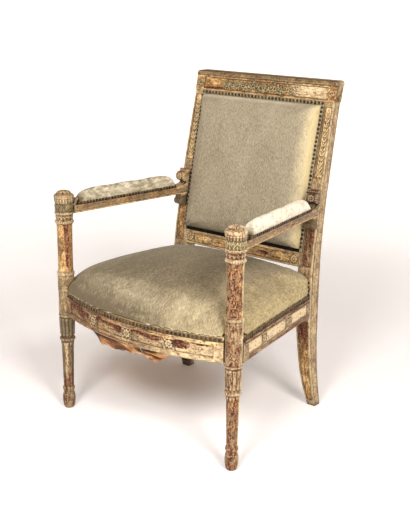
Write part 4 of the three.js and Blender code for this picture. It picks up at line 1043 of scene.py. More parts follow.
def patches(s, z, spots):
    """Soft spots, each at a place along and up, with its two half sizes and its strength."""
    total = np.zeros(np.broadcast(s, z).shape)
    for along_s, up, half_s, half_z, strength in spots:
        total = total + strength * np.exp(-(((s - along_s) / half_s) ** 2 + ((z - up) / half_z) ** 2) ** 2)
    return total


# Where the front rail is worn to its red ground: place along and up, half sizes and strength
FRONT_RED = [
    (-232, 335, 34, 9, 0.8), (-192, 327, 28, 12, 1.0), (-228, 343, 40, 5, 0.5), (-106, 333, 18, 7, 0.9),
    (-64, 331, 28, 5.5, 0.9), (-34, 325, 15, 10, 0.9), (38, 333, 24, 6, 0.9), (82, 330, 34, 7, 0.9),
    (168, 327, 25, 12, 1.2), (225, 334, 26, 4, 0.6), (0, 344, 270, 4, 0.35), (-60, 297, 150, 3, 0.3),
]


def make_front_rail():
    """The bowed rail, with four sunk panels between carved blocks."""
    end = RAIL_RADIUS * math.asin((POST_X - 20) / RAIL_RADIUS)
    outer = POST_X - 39.4
    panels = [(-outer, -154.0), (-120.0, -17.0), (17.0, 120.0), (154.0, outer)]
    blocks = [(middle, 34.0) for middle in (-137.0, 0.0, 137.0)]
    s = stations([-end, *[m for panel in panels for m in panel], end], 1.9)
    rings, sink, relief, shading = rail_rings(s, arc_place, panels, blocks)
    height = rings[..., 2]
    place_s = s[:, None] + 0 * height
    red = patches(place_s, height, FRONT_RED)
    shading["hollow"] = np.maximum(shading["hollow"], 0.48 * np.clip(red, 0, 1))
    leftward, rightward = slope(place_s, -20, -180), slope(place_s, 60, 120)
    fields = {
        "wear": 1.2 * red - 0.12 * rightward - 0.06,
        "gild": 0.3 * leftward + 0.25 * (height > PANEL_HIGH) + 0.2,
        "leaf": 0.3 * (relief > 0.1) + 0.3 * leftward * (sink > 0.8),
        "pale": 0.6 * rightward + 0.3 * (relief > 0.1) - 0.35 * leftward,
        **shading,
    }
    make("front_seat_rail_worn", loft(rings), RAIL_PAINT, ["front_seat_rail"], fields)


def make_side_rails():
    span = SIDE_END - SIDE_START
    length = np.linalg.norm(span)
    ahead = span / length
    right = np.array([ahead[1], -ahead[0]])

    def line_place(s, out):
        return SIDE_START[0] + ahead[0] * s + right[0] * out, SIDE_START[1] + ahead[1] * s + right[1] * out

    panels = [(start * length, stop * length) for start, stop in ((0.08, 0.27), (0.33, 0.62), (0.71, 0.96))]
    blocks = [(0.3 * length, 0.06 * length + 2), (0.665 * length, 0.09 * length)]
    s = stations([3.0, *[m for panel in panels for m in panel], length - 0.4], 1.9)
    rings, sink, relief, shading = rail_rings(s, line_place, panels, blocks)
    rings[..., 1] = np.minimum(rings[..., 1], LEG_SEAT_Y + 0.4)
    height = rings[..., 2]
    place_s = s[:, None] + 0 * height
    near_leg = slope(place_s, 250, 60)
    above, below, in_panel = height > PANEL_HIGH, height < PANEL_LOW, sink > 0.8
    spots = patches(place_s, height, [(250, 296, 90, 5, 0.4), (60, 294, 30, 5, 0.4)])
    fields = {
        "wear": 0.32 * above * (height <= RAIL_TOP) + 0.14 * below - 0.3 * in_panel + spots,
        "gild": 0.3 * above + 0.3 * below + 0.3 * near_leg,
        "leaf": 0.35 * (relief > 0.1) + 0.12 * near_leg,
        "pale": 1.3 * in_panel - 0.3 * (sink < 0.2),
        **shading,
    }
    make_pair("side_seat_rail", loft(rings), SIDE_PAINT, fields)


# Crest rail and lower back rail
CREST_HALF = 249.0
CREST_MOULDING = (938.0, CHAIR_HEIGHT)
CREST_PANEL = (899.5, 932.0)
CREST_PANEL_HALF = 218.0
CREST_CORNER = 9.0
CREST_TONGUE = 21.0  # how far the crest reaches down between the stiles
CREST_SCROLLS = [  # place along, lift, size and hand of each spiral, from the middle outwards
    (27, 2.0, 10.5, 1), (51, -2.0, 10.0, -1), (74, 1.5, 9.2, 1), (95, -1.5, 8.4, -1), (114, 1.0, 7.4, 1),
    (131, -1.0, 6.4, -1),
]
BETWEEN_LEGS = LEG_INNER - 0.3


def foliage():
    """Scrolling leaves either side of a palmette, on the crest's panel."""
    middle = sum(CREST_PANEL) / 2
    strokes = palmette(0, CREST_PANEL[0] + 4, 24, 11, 3.0, 7)
    strokes += rosette(0, CREST_PANEL[0] + 7, 6, 6, 2.6)
    for side in (-1, 1):
        before = (10, CREST_PANEL[0] + 6)
        for x, lift, size, hand in CREST_SCROLLS:
            u, v = side * x, middle + lift
            start = math.pi / 2 * (1 + hand) + (0 if side > 0 else math.pi)
            strokes += volute(u, v, size, 1.35, start, hand * side, 1.9, 2.4)
            entry = (u - side * size * 0.9, v - hand * size * 0.5)
            strokes.append([
                (side * before[0], before[1], 2.0, 2.2),
                ((side * before[0] + entry[0]) / 2, v - hand * size, 2.0, 2.4),
                (*entry, 2.0, 2.4),
            ])
            outer_turn = -side * math.pi / 2 * (1 - 0.35 * hand)
            inner_turn = side * 0.9 if hand < 0 else math.pi - side * 0.9
            strokes += palmette(u + side * size * 0.6, v + hand * size * 0.75, 8.5, 4.5, 2.2, 3, outer_turn)
            strokes += palmette(u - side * size * 0.1, v - hand * size * 0.95, 6.5, 3.6, 2.0, 3, inner_turn)
            for k in range(7):
                angle = TAU * k / 7 + x
                ahead, up = math.cos(angle) * size, math.sin(angle) * size
                strokes.append([
                    (u + ahead * 0.95, v + up * 0.95, 1.1, 1.4), (u + ahead * 1.3, v + up * 1.3, 1.7, 1.9),
                ])
            before = (x + size * 0.8, v + hand * size * 0.3)
        strokes += palmette(side * 139, middle, 12, 5, 2.0, 3, -side * math.pi / 2)
        tendril = [(148, 1, 1.6, 1.6), (156, 4, 1.3, 1.4), (164, 0, 0.9, 1.0)]
        strokes.append([(side * x, middle + lift, width, rise) for x, lift, width, rise in tendril])
    return strokes


def make_crest():
    """The crest rail: a carved panel between blocks, under a half-round moulding."""
    foot = CREST_BOTTOM - CREST_TONGUE
    moulding_low, moulding_high = CREST_MOULDING
    x = stations([-CREST_HALF, -240.0, -CREST_PANEL_HALF, CREST_PANEL_HALF, 240.0, CREST_HALF], 1.5)
    z = stations([foot, CREST_BOTTOM, *CREST_PANEL, *CREST_MOULDING], 1.4, 0.8)
    xs, zs = x[:, None], z[None, :]
    sink = sunk(xs, zs, -CREST_PANEL_HALF, CREST_PANEL_HALF, *CREST_PANEL)
    moulding = np.where(zs > moulding_low, 1.2 + rounded(zs, *CREST_MOULDING, 2.4), 0.0)
    bead = rounded(zs, CREST_BOTTOM, CREST_PANEL[0] - 0.7, 1.0) * (zs > CREST_BOTTOM)
    block = sunk(
        np.abs(xs), zs, CREST_PANEL_HALF + 5, CREST_HALF - 6, CREST_PANEL[0] + 1, CREST_PANEL[1] - 1,
    )
    motif = foliage()
    for side in (-1, 1):
        motif += rosette(side * (CREST_PANEL_HALF + 14), sum(CREST_PANEL) / 2, 9.5, 8, 2.4)
    relief = carve(xs, zs, motif)
    relief = relief * (1 - 0.75 * sunk(xs, zs, 118, CREST_PANEL_HALF, *CREST_PANEL, 6))
    out = moulding + bead - 3.0 * sink - 1.4 * block + relief - 2.0 * (zs < CREST_BOTTOM)
    past_corner = np.clip(np.abs(x) - CREST_HALF + CREST_CORNER, 0, None)
    top = moulding_high - CREST_CORNER + np.sqrt(np.clip(CREST_CORNER**2 - past_corner**2, 0, None))
    height = np.minimum(zs + 0 * out, top[:, None])
    face_x = np.where(height < CREST_BOTTOM, np.clip(xs, -BETWEEN_LEGS, BETWEEN_LEGS), xs)
    face = np.stack([face_x, leg_front(height) - out, height], -1)
    columns = []
    for level, reach in (
        (moulding_high, 3.0), (moulding_low + 6, 4.0), (moulding_low, 3.0), (moulding_low - 1, 0.0),
        (CREST_BOTTOM + 10, 0.0), (CREST_BOTTOM, 0.0), (foot, 0.0),
    ):
        back_z = np.minimum(level, top)
        back_x = np.clip(x, -BETWEEN_LEGS, BETWEEN_LEGS) if level < CREST_BOTTOM else x
        columns.append(np.stack([back_x, leg_back(back_z) + reach, back_z], -1))
    rings = np.concatenate([face, np.stack(columns, 1)], 1)
    rightward, leftward = slope(xs, 60, 90), slope(xs, -110, -60)
    worn = patches(xs, zs, [
        (-180, 902, 50, 4, 0.5), (60, 899, 50, 4, 0.4), (150, 914, 14, 4, 0.4), (-190, 925, 30, 4, 0.3),
    ])
    foliate = soften((relief > 0.3) + 0.0, 8)
    shading = carved_fields(relief)
    # dark lines round the panel, and painted shade along the moulding's edges and at the crest's ends
    outline = highest(
        lined(xs, zs, -CREST_PANEL_HALF, CREST_PANEL_HALF, *CREST_PANEL), bell(zs, moulding_low, 1.6),
        bell(zs, moulding_high, 3.5), bell(np.abs(xs), CREST_HALF, 3.0),
    )
    at_ends = np.abs(xs) > CREST_PANEL_HALF
    upper = zs > moulding_low
    fields = {
        "wear": 0.2 * upper + 0.12 * at_ends + worn - 0.2 * sink * rightward - 0.1,
        "gild": 0.6 - 0.7 * rightward * sink + 0.3 * leftward,
        "leaf": 0.9 * foliate * (1 - rightward) + 0.35 * upper,
        "pale": 0.62 * rightward * sink + 0.05 - 0.6 * upper + 0.1 * at_ends,
        "ridge": 0.5 * shading["ridge"],
        "hollow": np.maximum(0.8 * shading["hollow"], 0.75 * outline),
    }
    fields = {name: padded(values + 0 * out, rings) for name, values in fields.items()}
    make("crest_rail_worn", loft(rings), CREST_PAINT, ["crest_rail"], fields)


def make_lower_rail():
    """The rail under the back: a sunk panel between two rosettes."""
    bottom, top = LOWER_RAIL
    block = 176.0
    x = stations([-BETWEEN_LEGS, -block, block, BETWEEN_LEGS], 1.8)
    z = stations([bottom, bottom + 7, top - 8, top], 1.6)
    xs, zs = x[:, None], z[None, :]
    panel = (xs, zs, -block, block, bottom + 7, top - 8)
    motif = [stroke for side in (-1, 1) for stroke in rosette(side * 191, bottom + 20, 11, 8, 2.2)]
    relief = carve(xs, zs, motif)
    out = rounded(zs, bottom, bottom + 7, 1.4) * (zs < bottom + 7) - 1.6 * sunk(*panel) + relief
    face = np.stack([xs + 0 * out, leg_front(zs) - out, zs + 0 * out], -1)
    levels = (top, top - 1, (bottom + top) / 2, bottom)
    columns = [np.stack([x, leg_back(level) + 0 * x, level + 0 * x], -1) for level in levels]
    rings = np.concatenate([face, np.stack(columns, 1)], 1)
    height = rings[..., 2]
    place_x = x[:, None] + 0 * height
    shading = carved_fields(relief)
    # dark lines round the panel, and painted shade along the rail's foot
    outline = np.maximum(lined(*panel), bell(zs, bottom, 2.5))
    shading["hollow"] = np.maximum(shading["hollow"], 0.75 * outline)
    worn = patches(place_x, height, [(84, 452, 22, 6, 0.7), (128, 446, 20, 4, 0.5), (-90, 450, 30, 4, 0.3)])
    fields = {
        "wear": worn - 0.05,
        "gild": 0.35 + 0 * height,
        "leaf": 0.25 * (np.abs(place_x) > block),
        "pale": 0.2 + 0 * height,
        **{name: padded(values, rings) for name, values in shading.items()},
    }
    make("lower_back_rail_worn", loft(rings), CREST_PAINT, ["lower_back_rail"], fields)


# Arms
ARM_MIDDLE = (ARM_BOTTOM + ARM_TOP) / 2
ARM_START = np.array([POST_X, POST_Y])
ARM_END = np.array([float(leg_outer(ARM_MIDDLE)) - ARM_WIDTH / 2, float(leg_front(ARM_MIDDLE))])
ARM_LENGTH = float(np.linalg.norm(ARM_END - ARM_START))
ARM_AHEAD = (ARM_END - ARM_START) / ARM_LENGTH
ARM_RIGHT = np.array([ARM_AHEAD[1], -ARM_AHEAD[0]])
SCROLL = (17.0, 635.0, 13.5)  # how far before the stile, height and radius
UPPER_ROLL = (13.0, 652.5, 5.5)
LOWER_ROLL = (12.0, 559.0, 11.5)
NECK = (10.0, 616.0)
CONSOLE_START = ARM_LENGTH - 52.0
BEAM_LOWER = [(0, 6), (0.6, 4), (2.4, 2.6), (4.6, 2.6), (6.4, 3.6), (7, 0.8), (7.8, 0)]  # rise and inset
BEAM_UPPER = [(6, 0), (1.6, 0.2), (0.4, 1.2), (0, 3)]  # drop from the top and inset
STILE_LEAN = float((leg_front(673) - leg_front(583)) / 90)


def arm_place(s, sideways, z):
    """The place that far along the right arm from its post, to its right and up."""
    s, sideways, z = np.broadcast_arrays(np.asarray(s, float), sideways, z)
    return np.stack([
        ARM_START[0] + ARM_AHEAD[0] * s + ARM_RIGHT[0] * sideways,
        ARM_START[1] + ARM_AHEAD[1] * s + ARM_RIGHT[1] * sideways,
        z,
    ], -1)


def stile_reach(z):
    """How far along the arm the stile's front face lies at a height."""
    return ARM_LENGTH + (np.asarray(z, float) - ARM_MIDDLE) * STILE_LEAN - 0.4


def rolled_slab(outline, half, edge):
    """An outline of reach and height, drawn out across the arm with softened edges."""
    outline = np.asarray(outline, float)
    step = np.roll(outline, -1, 0) - np.roll(outline, 1, 0)
    inward = unit(np.stack([-step[:, 1], step[:, 0]], 1))
    if (inward * (outline.mean(0) - outline)).sum() < 0:
        inward = -inward
    rim = [(half, edge), (half - edge * 0.3, edge * 0.3), (half - edge, 0.0)]
    rings = []
    for sideways, inset in [*((-place, inset) for place, inset in rim), (0.0, 0.0), *rim[::-1]]:
        spots = outline + inward * inset
        rings.append(arm_place(spots[:, 0], sideways, spots[:, 1]))
    return loft(np.array(rings))


def disc_outline(s, z, radius, steps=28):
    """A circle of reach and height."""
    angle = np.arange(steps) / steps * TAU
    return np.stack([s + radius * np.cos(angle), z + radius * np.sin(angle)], 1)


def spiral_bead(s, z, size, sideways, width):
    """A raised spiral on the flat side of a roll."""
    t = np.linspace(0, 1, 60)
    angle = math.pi * 0.6 + TAU * 1.6 * t
    radius = size * (1 - t) ** 0.85
    path = arm_place(s + radius * np.cos(angle), sideways, z + radius * np.sin(angle))
    return tube(path, width * (1 - 0.4 * t))


def tube(path, radius, sides=8):
    """A round bar along a path."""
    path = np.asarray(path, float)
    ahead = unit(np.gradient(path, axis=0))
    helper = np.where(np.abs(ahead[:, 2:]) > 0.9, (1.0, 0.0, 0.0), (0.0, 0.0, 1.0))
    first = unit(np.cross(ahead, helper))
    second = np.cross(ahead, first)
    angle = np.arange(sides)[:, None] / sides * TAU
    radius = np.broadcast_to(np.asarray(radius, float), (len(path),))
    return loft(path[:, None] + radius[:, None, None] * (
        first[:, None] * np.cos(angle) + second[:, None] * np.sin(angle)
    ))


def arm_beam():
    """The arm's bar, with its half-round underside moulding."""
    s = stations([23.5, 60.0, CONSOLE_START, ARM_LENGTH - 2], 3.5)
    half = ARM_WIDTH / 2
    section = [(half - inset, ARM_BOTTOM + rise) for rise, inset in BEAM_LOWER]
    section += [(half - inset, ARM_TOP - drop) for drop, inset in BEAM_UPPER]
    section += [(-sideways, z) for sideways, z in reversed(section)]
    section = np.array(section)
    return loft(np.array([arm_place(place, section[:, 0], section[:, 1]) for place in s]))


def roll_centre(roll):
    """A roll's reach, height and radius."""
    before, z, radius = roll
    return float(stile_reach(z)) - before, z, radius


def curve(start, bend, stop, count):
    """Points on a smooth bend between two places."""
    t = np.linspace(0, 1, count)[:, None]
    return (1 - t) ** 2 * np.array(start) + 2 * t * (1 - t) * np.array(bend) + t**2 * np.array(stop)


def dome(place, outward, radius, rise, sides=12, rows=4):
    """A round boss on a face."""
    outward = unit(outward)
    first, second = crosswise(outward)
    tilt = np.arange(rows)[:, None] * math.pi / 2 / rows
    angle = np.arange(sides) / sides * TAU
    flat = radius * np.cos(tilt)
    points = (
        (flat * np.cos(angle))[..., None] * first + (flat * np.sin(angle))[..., None] * second
        + (rise * np.sin(tilt) + 0 * angle)[..., None] * outward
    ).reshape(-1, 3)
    points = np.concatenate([points, [rise * outward]]) + place
    faces = quads(rows, sides, True)
    last = (rows - 1) * sides
    faces += [[last + j, last + (j + 1) % sides, rows * sides] for j in range(sides)]
    faces.append(list(range(sides))[::-1])
    return points, faces


def flower(place, outward, radius, petals):
    """A small carved flower of round petals on a face."""
    outward = unit(outward)
    level = unit(np.cross((0.0, 0.0, 1.0), outward))
    rise = np.cross(outward, level)
    parts = [dome(place, outward, radius * 0.3, radius * 0.42)]
    for k in range(petals):
        angle = TAU * k / petals
        spot = place + radius * 0.66 * (level * math.cos(angle) + rise * math.sin(angle))
        parts.append(dome(spot, outward, radius * 0.3, radius * 0.26))
    return joined(*parts)


def upright(heights):
    """Reach and height of points up the stile's front face."""
    return np.stack([stile_reach(heights), heights], 1)


def arm_part():
    """The right arm: its bar, the console that climbs the stile, and the scroll below."""
    half = ARM_WIDTH / 2
    scroll_s, scroll_z, scroll_r = roll_centre(SCROLL)
    upper_s, upper_z, upper_r = roll_centre(UPPER_ROLL)
    low_s, low_z, low_r = roll_centre(LOWER_ROLL)
    neck_s, neck_z = float(stile_reach(NECK[1])) - NECK[0], NECK[1]
    hollow = curve((CONSOLE_START, ARM_TOP - 1), (neck_s - 2, ARM_TOP + 1), (neck_s, neck_z), 14)
    turn = np.linspace(math.radians(250), math.radians(115), 14)
    boss = np.stack([scroll_s + scroll_r * np.cos(turn), scroll_z + scroll_r * np.sin(turn)], 1)
    bracket = np.concatenate([
        hollow, boss, [(upper_s - upper_r, upper_z - 3), (upper_s - upper_r, upper_z + 3)],
        upright(np.linspace(upper_z + 3, ARM_TOP - 8, 10)), [(CONSOLE_START + 6, ARM_TOP - 8)],
    ])
    lower = np.concatenate([
        upright(np.linspace(ARM_BOTTOM + 4, low_z + 2, 6)), [(low_s - low_r * 0.7, low_z + 4)],
        [(low_s - low_r * 0.5, ARM_BOTTOM - 7), (low_s - low_r, ARM_BOTTOM + 4)],
    ])
    parts = [
        arm_beam(), rolled_slab(bracket, half, 1.6), rolled_slab(lower, half - 1.0, 1.4),
        rolled_slab(disc_outline(upper_s, upper_z, upper_r), half + 1.2, 1.6),
        rolled_slab(disc_outline(low_s, low_z, low_r), half + 0.8, 1.8),
    ]
    for face in (-half - 0.4, half + 0.4):
        parts.append(spiral_bead(scroll_s, scroll_z, scroll_r - 1.6, face, 1.5))
        parts.append(spiral_bead(low_s, low_z, low_r - 1.8, face, 1.4))
        parts.append(tube(arm_place(hollow[:, 0] + 3.5, face, hollow[:, 1] - 3.0), 1.2))
    for rim in (-half + 1.6, half - 1.6):
        parts.append(tube(arm_place(hollow[:, 0], rim, hollow[:, 1]), 1.6))
        parts.append(tube(arm_place(boss[:, 0], rim, boss[:, 1]), 1.6))
    front = np.array([*(-ARM_AHEAD), 0.12])
    parts.append(flower(arm_place(scroll_s - scroll_r + 0.4, 0.0, scroll_z + 1), front, 10.5, 8))
    leaf = curve((CONSOLE_START + 12, ARM_TOP), (neck_s - 4, ARM_TOP + 2), (neck_s - 1.0, neck_z + 4), 12)
    for sideways in (-8.0, 0.0, 8.0):
        path = arm_place(leaf[:, 0], sideways * np.linspace(1.0, 0.6, 12), leaf[:, 1])
        parts.append(tube(path, np.linspace(1.6, 3.2, 12), 10))
    for sideways in np.linspace(-half + 3, half - 3, 6):
        parts.append(dome(arm_place(upper_s - upper_r + 0.6, sideways, upper_z - 0.5), front, 2.2, 1.5))
    for sideways in (-9.0, 0.0, 9.0):
        path = arm_place([25, 29, 34, 39, 41], sideways, ARM_TOP + np.array([-2.0, 5.0, 12.0, 16.0, 17.0]))
        parts.append(tube(path, [5.4, 6.0, 5.0, 3.4, 1.6], 12))
    return joined(*parts)


def make_arms():
    part = arm_part()
    points = part[0]
    height = points[:, 2]
    reach = (points[:, :2] - ARM_START) @ ARM_AHEAD
    low = height < ARM_BOTTOM + 7
    console = (reach > CONSOLE_START) * (height > ARM_TOP - 1)
    tip = (reach < PAD_START) * (height > ARM_TOP + 1)
    # Painted shade: dark lines along the top edge under the pad and along the underside, with the groove,
    # console and tip darker
    groove = np.abs(height - ARM_BOTTOM - 6.4) < 0.5
    top_edge = (np.abs(height - ARM_TOP) < 0.5) & (reach < CONSOLE_START)
    underside = height < ARM_BOTTOM + 1
    fields = {
        "wear": np.where(low, -0.1, 0.12) + 0.22 * console + 0.15 * tip,
        "gild": np.where(low, 0.3, 0.25) + 0.1 * console,
        "leaf": 0.25 * tip + 0.15 * console,
        "pale": 0.75 * low - 0.4 - 0.3 * console,
        "hollow": 0.9 * groove + 0.8 * top_edge + 0.5 * console + 0.4 * tip + 0.8 * underside,
    }
    left_fields = {
        "gild": fields["gild"] + 0.3 * console,
        "pale": fields["pale"] + 0.6 * console,
        "hollow": fields["hollow"] - 0.35 * console,
    }
    make_pair("arm", part, ARM_PAINT, fields, left_fields)


make_posts()
make_legs()
make_front_rail()
make_side_rails()
make_crest()
make_lower_rail()
make_arms()


# Upholstery
def copied(name, *nodes):
    """One new piece from copies of solids."""
    work = bmesh.new()
    for node in nodes:
        work.from_mesh(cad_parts[node].data)
    mesh = bpy.data.meshes.new(name)
    work.to_mesh(mesh)
    work.free()
    return add_object(name, mesh)


def settle(piece):
    """Turns a piece's modifiers into its mesh."""
    graph = bpy.context.evaluated_depsgraph_get()
    mesh = bpy.data.meshes.new_from_object(piece.evaluated_get(graph))
    piece.modifiers.clear()
    piece.data = mesh


def modify(piece, kind, **settings):
    """Works one modifier into a piece's mesh."""
    modifier = piece.modifiers.new(kind.lower(), kind)
    for key, value in settings.items():
        setattr(modifier, key, value)
    settle(piece)


def points_of(mesh):
    """The places of a mesh's vertices in millimetres."""
    return vectors(mesh.vertices, "co") / MM


def set_points(mesh, points):
    """Moves a mesh's vertices to places in millimetres."""
    mesh.vertices.foreach_set("co", (np.asarray(points, float) * MM).ravel())
    mesh.update()


RELAX_SHARE = 0.5


def relax(mesh, rounds):
    """Evens out a mesh without moving it much."""
    points = points_of(mesh)
    a, b = edge_ends(mesh)
    alike = np.ones(len(a))
    for _ in range(rounds):
        smooth = np.stack([spread(points[:, k], a, b, alike, 1) for k in range(3)], 1)
        points = points + RELAX_SHARE * (smooth - points)
    set_points(mesh, points)


SIMULATED_FRAMES = 20
CLOTH = {
    "quality": 6, "mass": 0.35, "bending_stiffness": 0.6, "use_pressure": True, "shrink_min": -0.02,
    "vertex_group_mass": "nailed",
}


def puff(piece, pinned, pressure, cap, stiffness=18.0):
    """Blows a cushion up as cloth, held where it is nailed down, and keeps each point near its start."""
    before = points_of(piece.data)
    group = piece.vertex_groups.new(name="nailed")
    group.add(np.flatnonzero(pinned).tolist(), 1.0, "REPLACE")
    cloth = piece.modifiers.new("cloth", "CLOTH")
    values = {
        **CLOTH, "uniform_pressure_force": pressure, "tension_stiffness": stiffness,
        "compression_stiffness": stiffness, "shear_stiffness": stiffness / 3,
    }
    for key, value in values.items():
        setattr(cloth.settings, key, value)
    cloth.settings.effector_weights.gravity = 0.0
    cloth.collision_settings.use_collision = False
    cloth.point_cache.frame_start = 1
    cloth.point_cache.frame_end = SIMULATED_FRAMES
    for step in range(1, SIMULATED_FRAMES + 1):
        scene.frame_set(step)
    settle(piece)
    scene.frame_set(1)
    move = points_of(piece.data) - before
    length = np.linalg.norm(move, axis=1)[:, None]
    after = before + move * np.minimum(1.0, cap / np.maximum(length, 1e-6))
    after[pinned] = before[pinned]
    set_points(piece.data, after)


def quilt(piece, pull):
    """Makes a cushion finer and moves it along its normals. Returns its places before, and the normals."""
    modify(piece, "SUBSURF", levels=1, render_levels=1)
    points = points_of(piece.data)
    normals = vectors(piece.data.vertices, "normal")
    set_points(piece.data, points + normals * pull(points, normals)[:, None])
    return points, normals


def finish_padded(piece, material, replaces):
    """Finishes a stuffed piece, smooth all over."""
    piece.data.shade_smooth()
    finish(piece, material, replaces)


def seat_side_x(y):
    """How far out the side rails' outer faces lie at a depth."""
    share = (y - SIDE_START[1]) / (SIDE_END[1] - SIDE_START[1])
    return SIDE_START[0] + (SIDE_END[0] - SIDE_START[0]) * share


def front_shoulder(x, y):
    """How far a place lies behind the front rail's outer face."""
    return RAIL_RADIUS - np.hypot(x, y - RAIL_CENTRE)


COVER_INSET = 3.7
WALL_TOP = 376.0
WALL_BLEND = 34.0
REAR_LIFT = 16.0
SEAT_NAILED = 372.0  # the cushion is held below this height
SEAT_VOXEL = 5.5
NAIL_PITCH = 12.0
PAD_NAIL_PITCH = 11.0


def stand_walls(points):
    """Moves the cushion's lower edge out to the line where it is nailed."""
    x, y, z = points.T
    hold = slope(z, WALL_TOP + WALL_BLEND, -WALL_BLEND)
    hold = hold * hold * (3 - 2 * hold)
    hold = np.maximum(hold, slope(y, 70, 90) * slope(z, 400, -24))
    behind = front_shoulder(x, y)
    beside = seat_side_x(y) - np.abs(x)
    near_front = slope(behind, 26, -16) * hold * (beside > behind - 6)
    near_side = slope(beside, 30, -16) * hold * (behind > 14)
    ahead = unit(np.stack([x, y - RAIL_CENTRE], 1))
    points[:, :2] += ahead * ((behind - COVER_INSET) * near_front)[:, None]
    points[:, 0] += np.sign(x) * (beside - COVER_INSET) * near_side
    points[:, 2] += REAR_LIFT * bell(np.abs(x), 238, 42) * bell(y, 178, 60) * (z > 366)
    return points


def make_seat():
    """The stuffed seat: the solids' shape, puffed, nailed along its edge and worn along its front, with
    painted light and shade on it.
    """
    piece = copied("seat_cushion", "seat_cover", "seat_stuffing", "seat_burlap")
    modify(piece, "REMESH", mode="VOXEL", voxel_size=SEAT_VOXEL * MM, use_smooth_shade=True)
    relax(piece.data, 10)
    points = stand_walls(points_of(piece.data))
    set_points(piece.data, points)
    puff(piece, points[:, 2] < SEAT_NAILED, 3.0, 7.0)
    relax(piece.data, 4)
    points = points_of(piece.data)
    low = points[:, 2] < SEAT_NAILED
    points[low] = stand_walls(points.copy())[low]
    set_points(piece.data, points)

    def pull(points, normals):
        around = RAIL_RADIUS * np.arctan2(points[:, 0], RAIL_CENTRE - points[:, 1])
        in_front = normals[:, 1] < -0.4
        return 0.6 * np.cos(TAU * around / NAIL_PITCH) * fade(points[:, 2], RAIL_TOP + 8, 9) * in_front

    points, normals = quilt(piece, pull)
    x, y, z = points.T
    ahead, lift = front_shoulder(x, y), z - RAIL_TOP
    up = np.clip(normals[:, 2], 0, 1)
    front_face = slope(up, 0.8, -0.4) * (normals[:, 1] < 0)
    from_left = slope(x, -190, 340) ** 2.2
    flank = np.clip(normals[:, 0] * 1.4, 0, 1) * np.clip(1.4 - up, 0, 1)
    band_line = bell(ahead + 5 * np.sin(x / 60), 38, 14) * slope(np.abs(x), 235, -60)
    fold = bell(lift, 14.5, 2.4) * (normals[:, 1] < -0.5)
    lit_corner = bell(x, 210, 90) * bell(ahead, 120, 120)
    # Painted light and shade: the top darker, the front face darker to the left, and the sides that face
    # right and the front right corner lighter and warmer; the pale band along the front shoulder is partly
    # rubbed pile and partly painted highlight; the seat is also darker just above the rail
    tone = -0.62 * slope(up, 0.6, 0.38) * (1 - 0.8 * slope(x, 120, 90))
    tone += front_face * (1.1 * (from_left - 1) - 0.28 * bell(x, 15, 110))
    tone += 0.25 * flank + 0.2 * lit_corner + 0.25 * band_line + 0.5 * fold
    set_fields(
        piece.data, tone=tone, flank=flank + 0.3 * lit_corner, worn=0.6 * band_line - 0.3 + 1.1 * fold,
        soil=0.35 * fade(lift, 8, 5),
    )
    finish_padded(piece, SEAT_VELVET, ["seat_cover", "seat_stuffing"])


def slab(front, back):
    """A closed skin between two grids of points."""
    rows, columns, _ = front.shape
    shift = rows * columns
    faces = quads(rows, columns) + [face[::-1] for face in quads(rows, columns, start=shift)]
    edge = list(range(columns)) + [i * columns + columns - 1 for i in range(1, rows)]
    edge += [(rows - 1) * columns + j for j in range(columns - 2, -1, -1)]
    edge += [i * columns for i in range(rows - 2, 0, -1)]
    faces += [[edge[k - 1], edge[k], shift + edge[k], shift + edge[k - 1]] for k in range(len(edge))]
    return np.concatenate([front.reshape(-1, 3), back.reshape(-1, 3)]), faces


def grid_slab(front, back, us, vs):
    """A closed skin between two surfaces over the same grid."""
    u, v = np.meshgrid(us, vs, indexing="ij")
    return slab(front(u, v), back(u, v))


def raked_sheet(half, bottom, top, line, depths, columns, rows, hollow=0.0):
    """A closed sheet along a line of the rear legs, from one distance behind it to another."""
    def skin(depth):
        def at(u, v):
            z = bottom + (top - bottom) * v
            dip = hollow * crown(u, 3, 1) * crown(2 * v - 1, 3, 1)
            return np.stack([u * half, line(z) + depth - dip, z + 0 * u], -1)
        return at

    us, vs = np.linspace(-1, 1, columns), np.linspace(0, 1, rows)
    return grid_slab(skin(depths[0]), skin(depths[1]), us, vs)


def eased(count, share=0.55):
    """Stations from -1 to 1 that crowd a little towards both ends."""
    t = np.linspace(-1, 1, count)
    return t + share * (np.sin(t * math.pi / 2) - t)


def crown(t, flat, full):
    """1 in the middle and 0 at -1 and 1, flatter and fuller with higher numbers."""
    return np.clip(1 - np.abs(t) ** flat, 0, 1) ** (1 / full)


def new_piece(name, part):
    """A smooth piece that isn't finished yet."""
    return add_object(name, new_mesh(name, part, SMOOTH))


BACK_GAP = 9.0


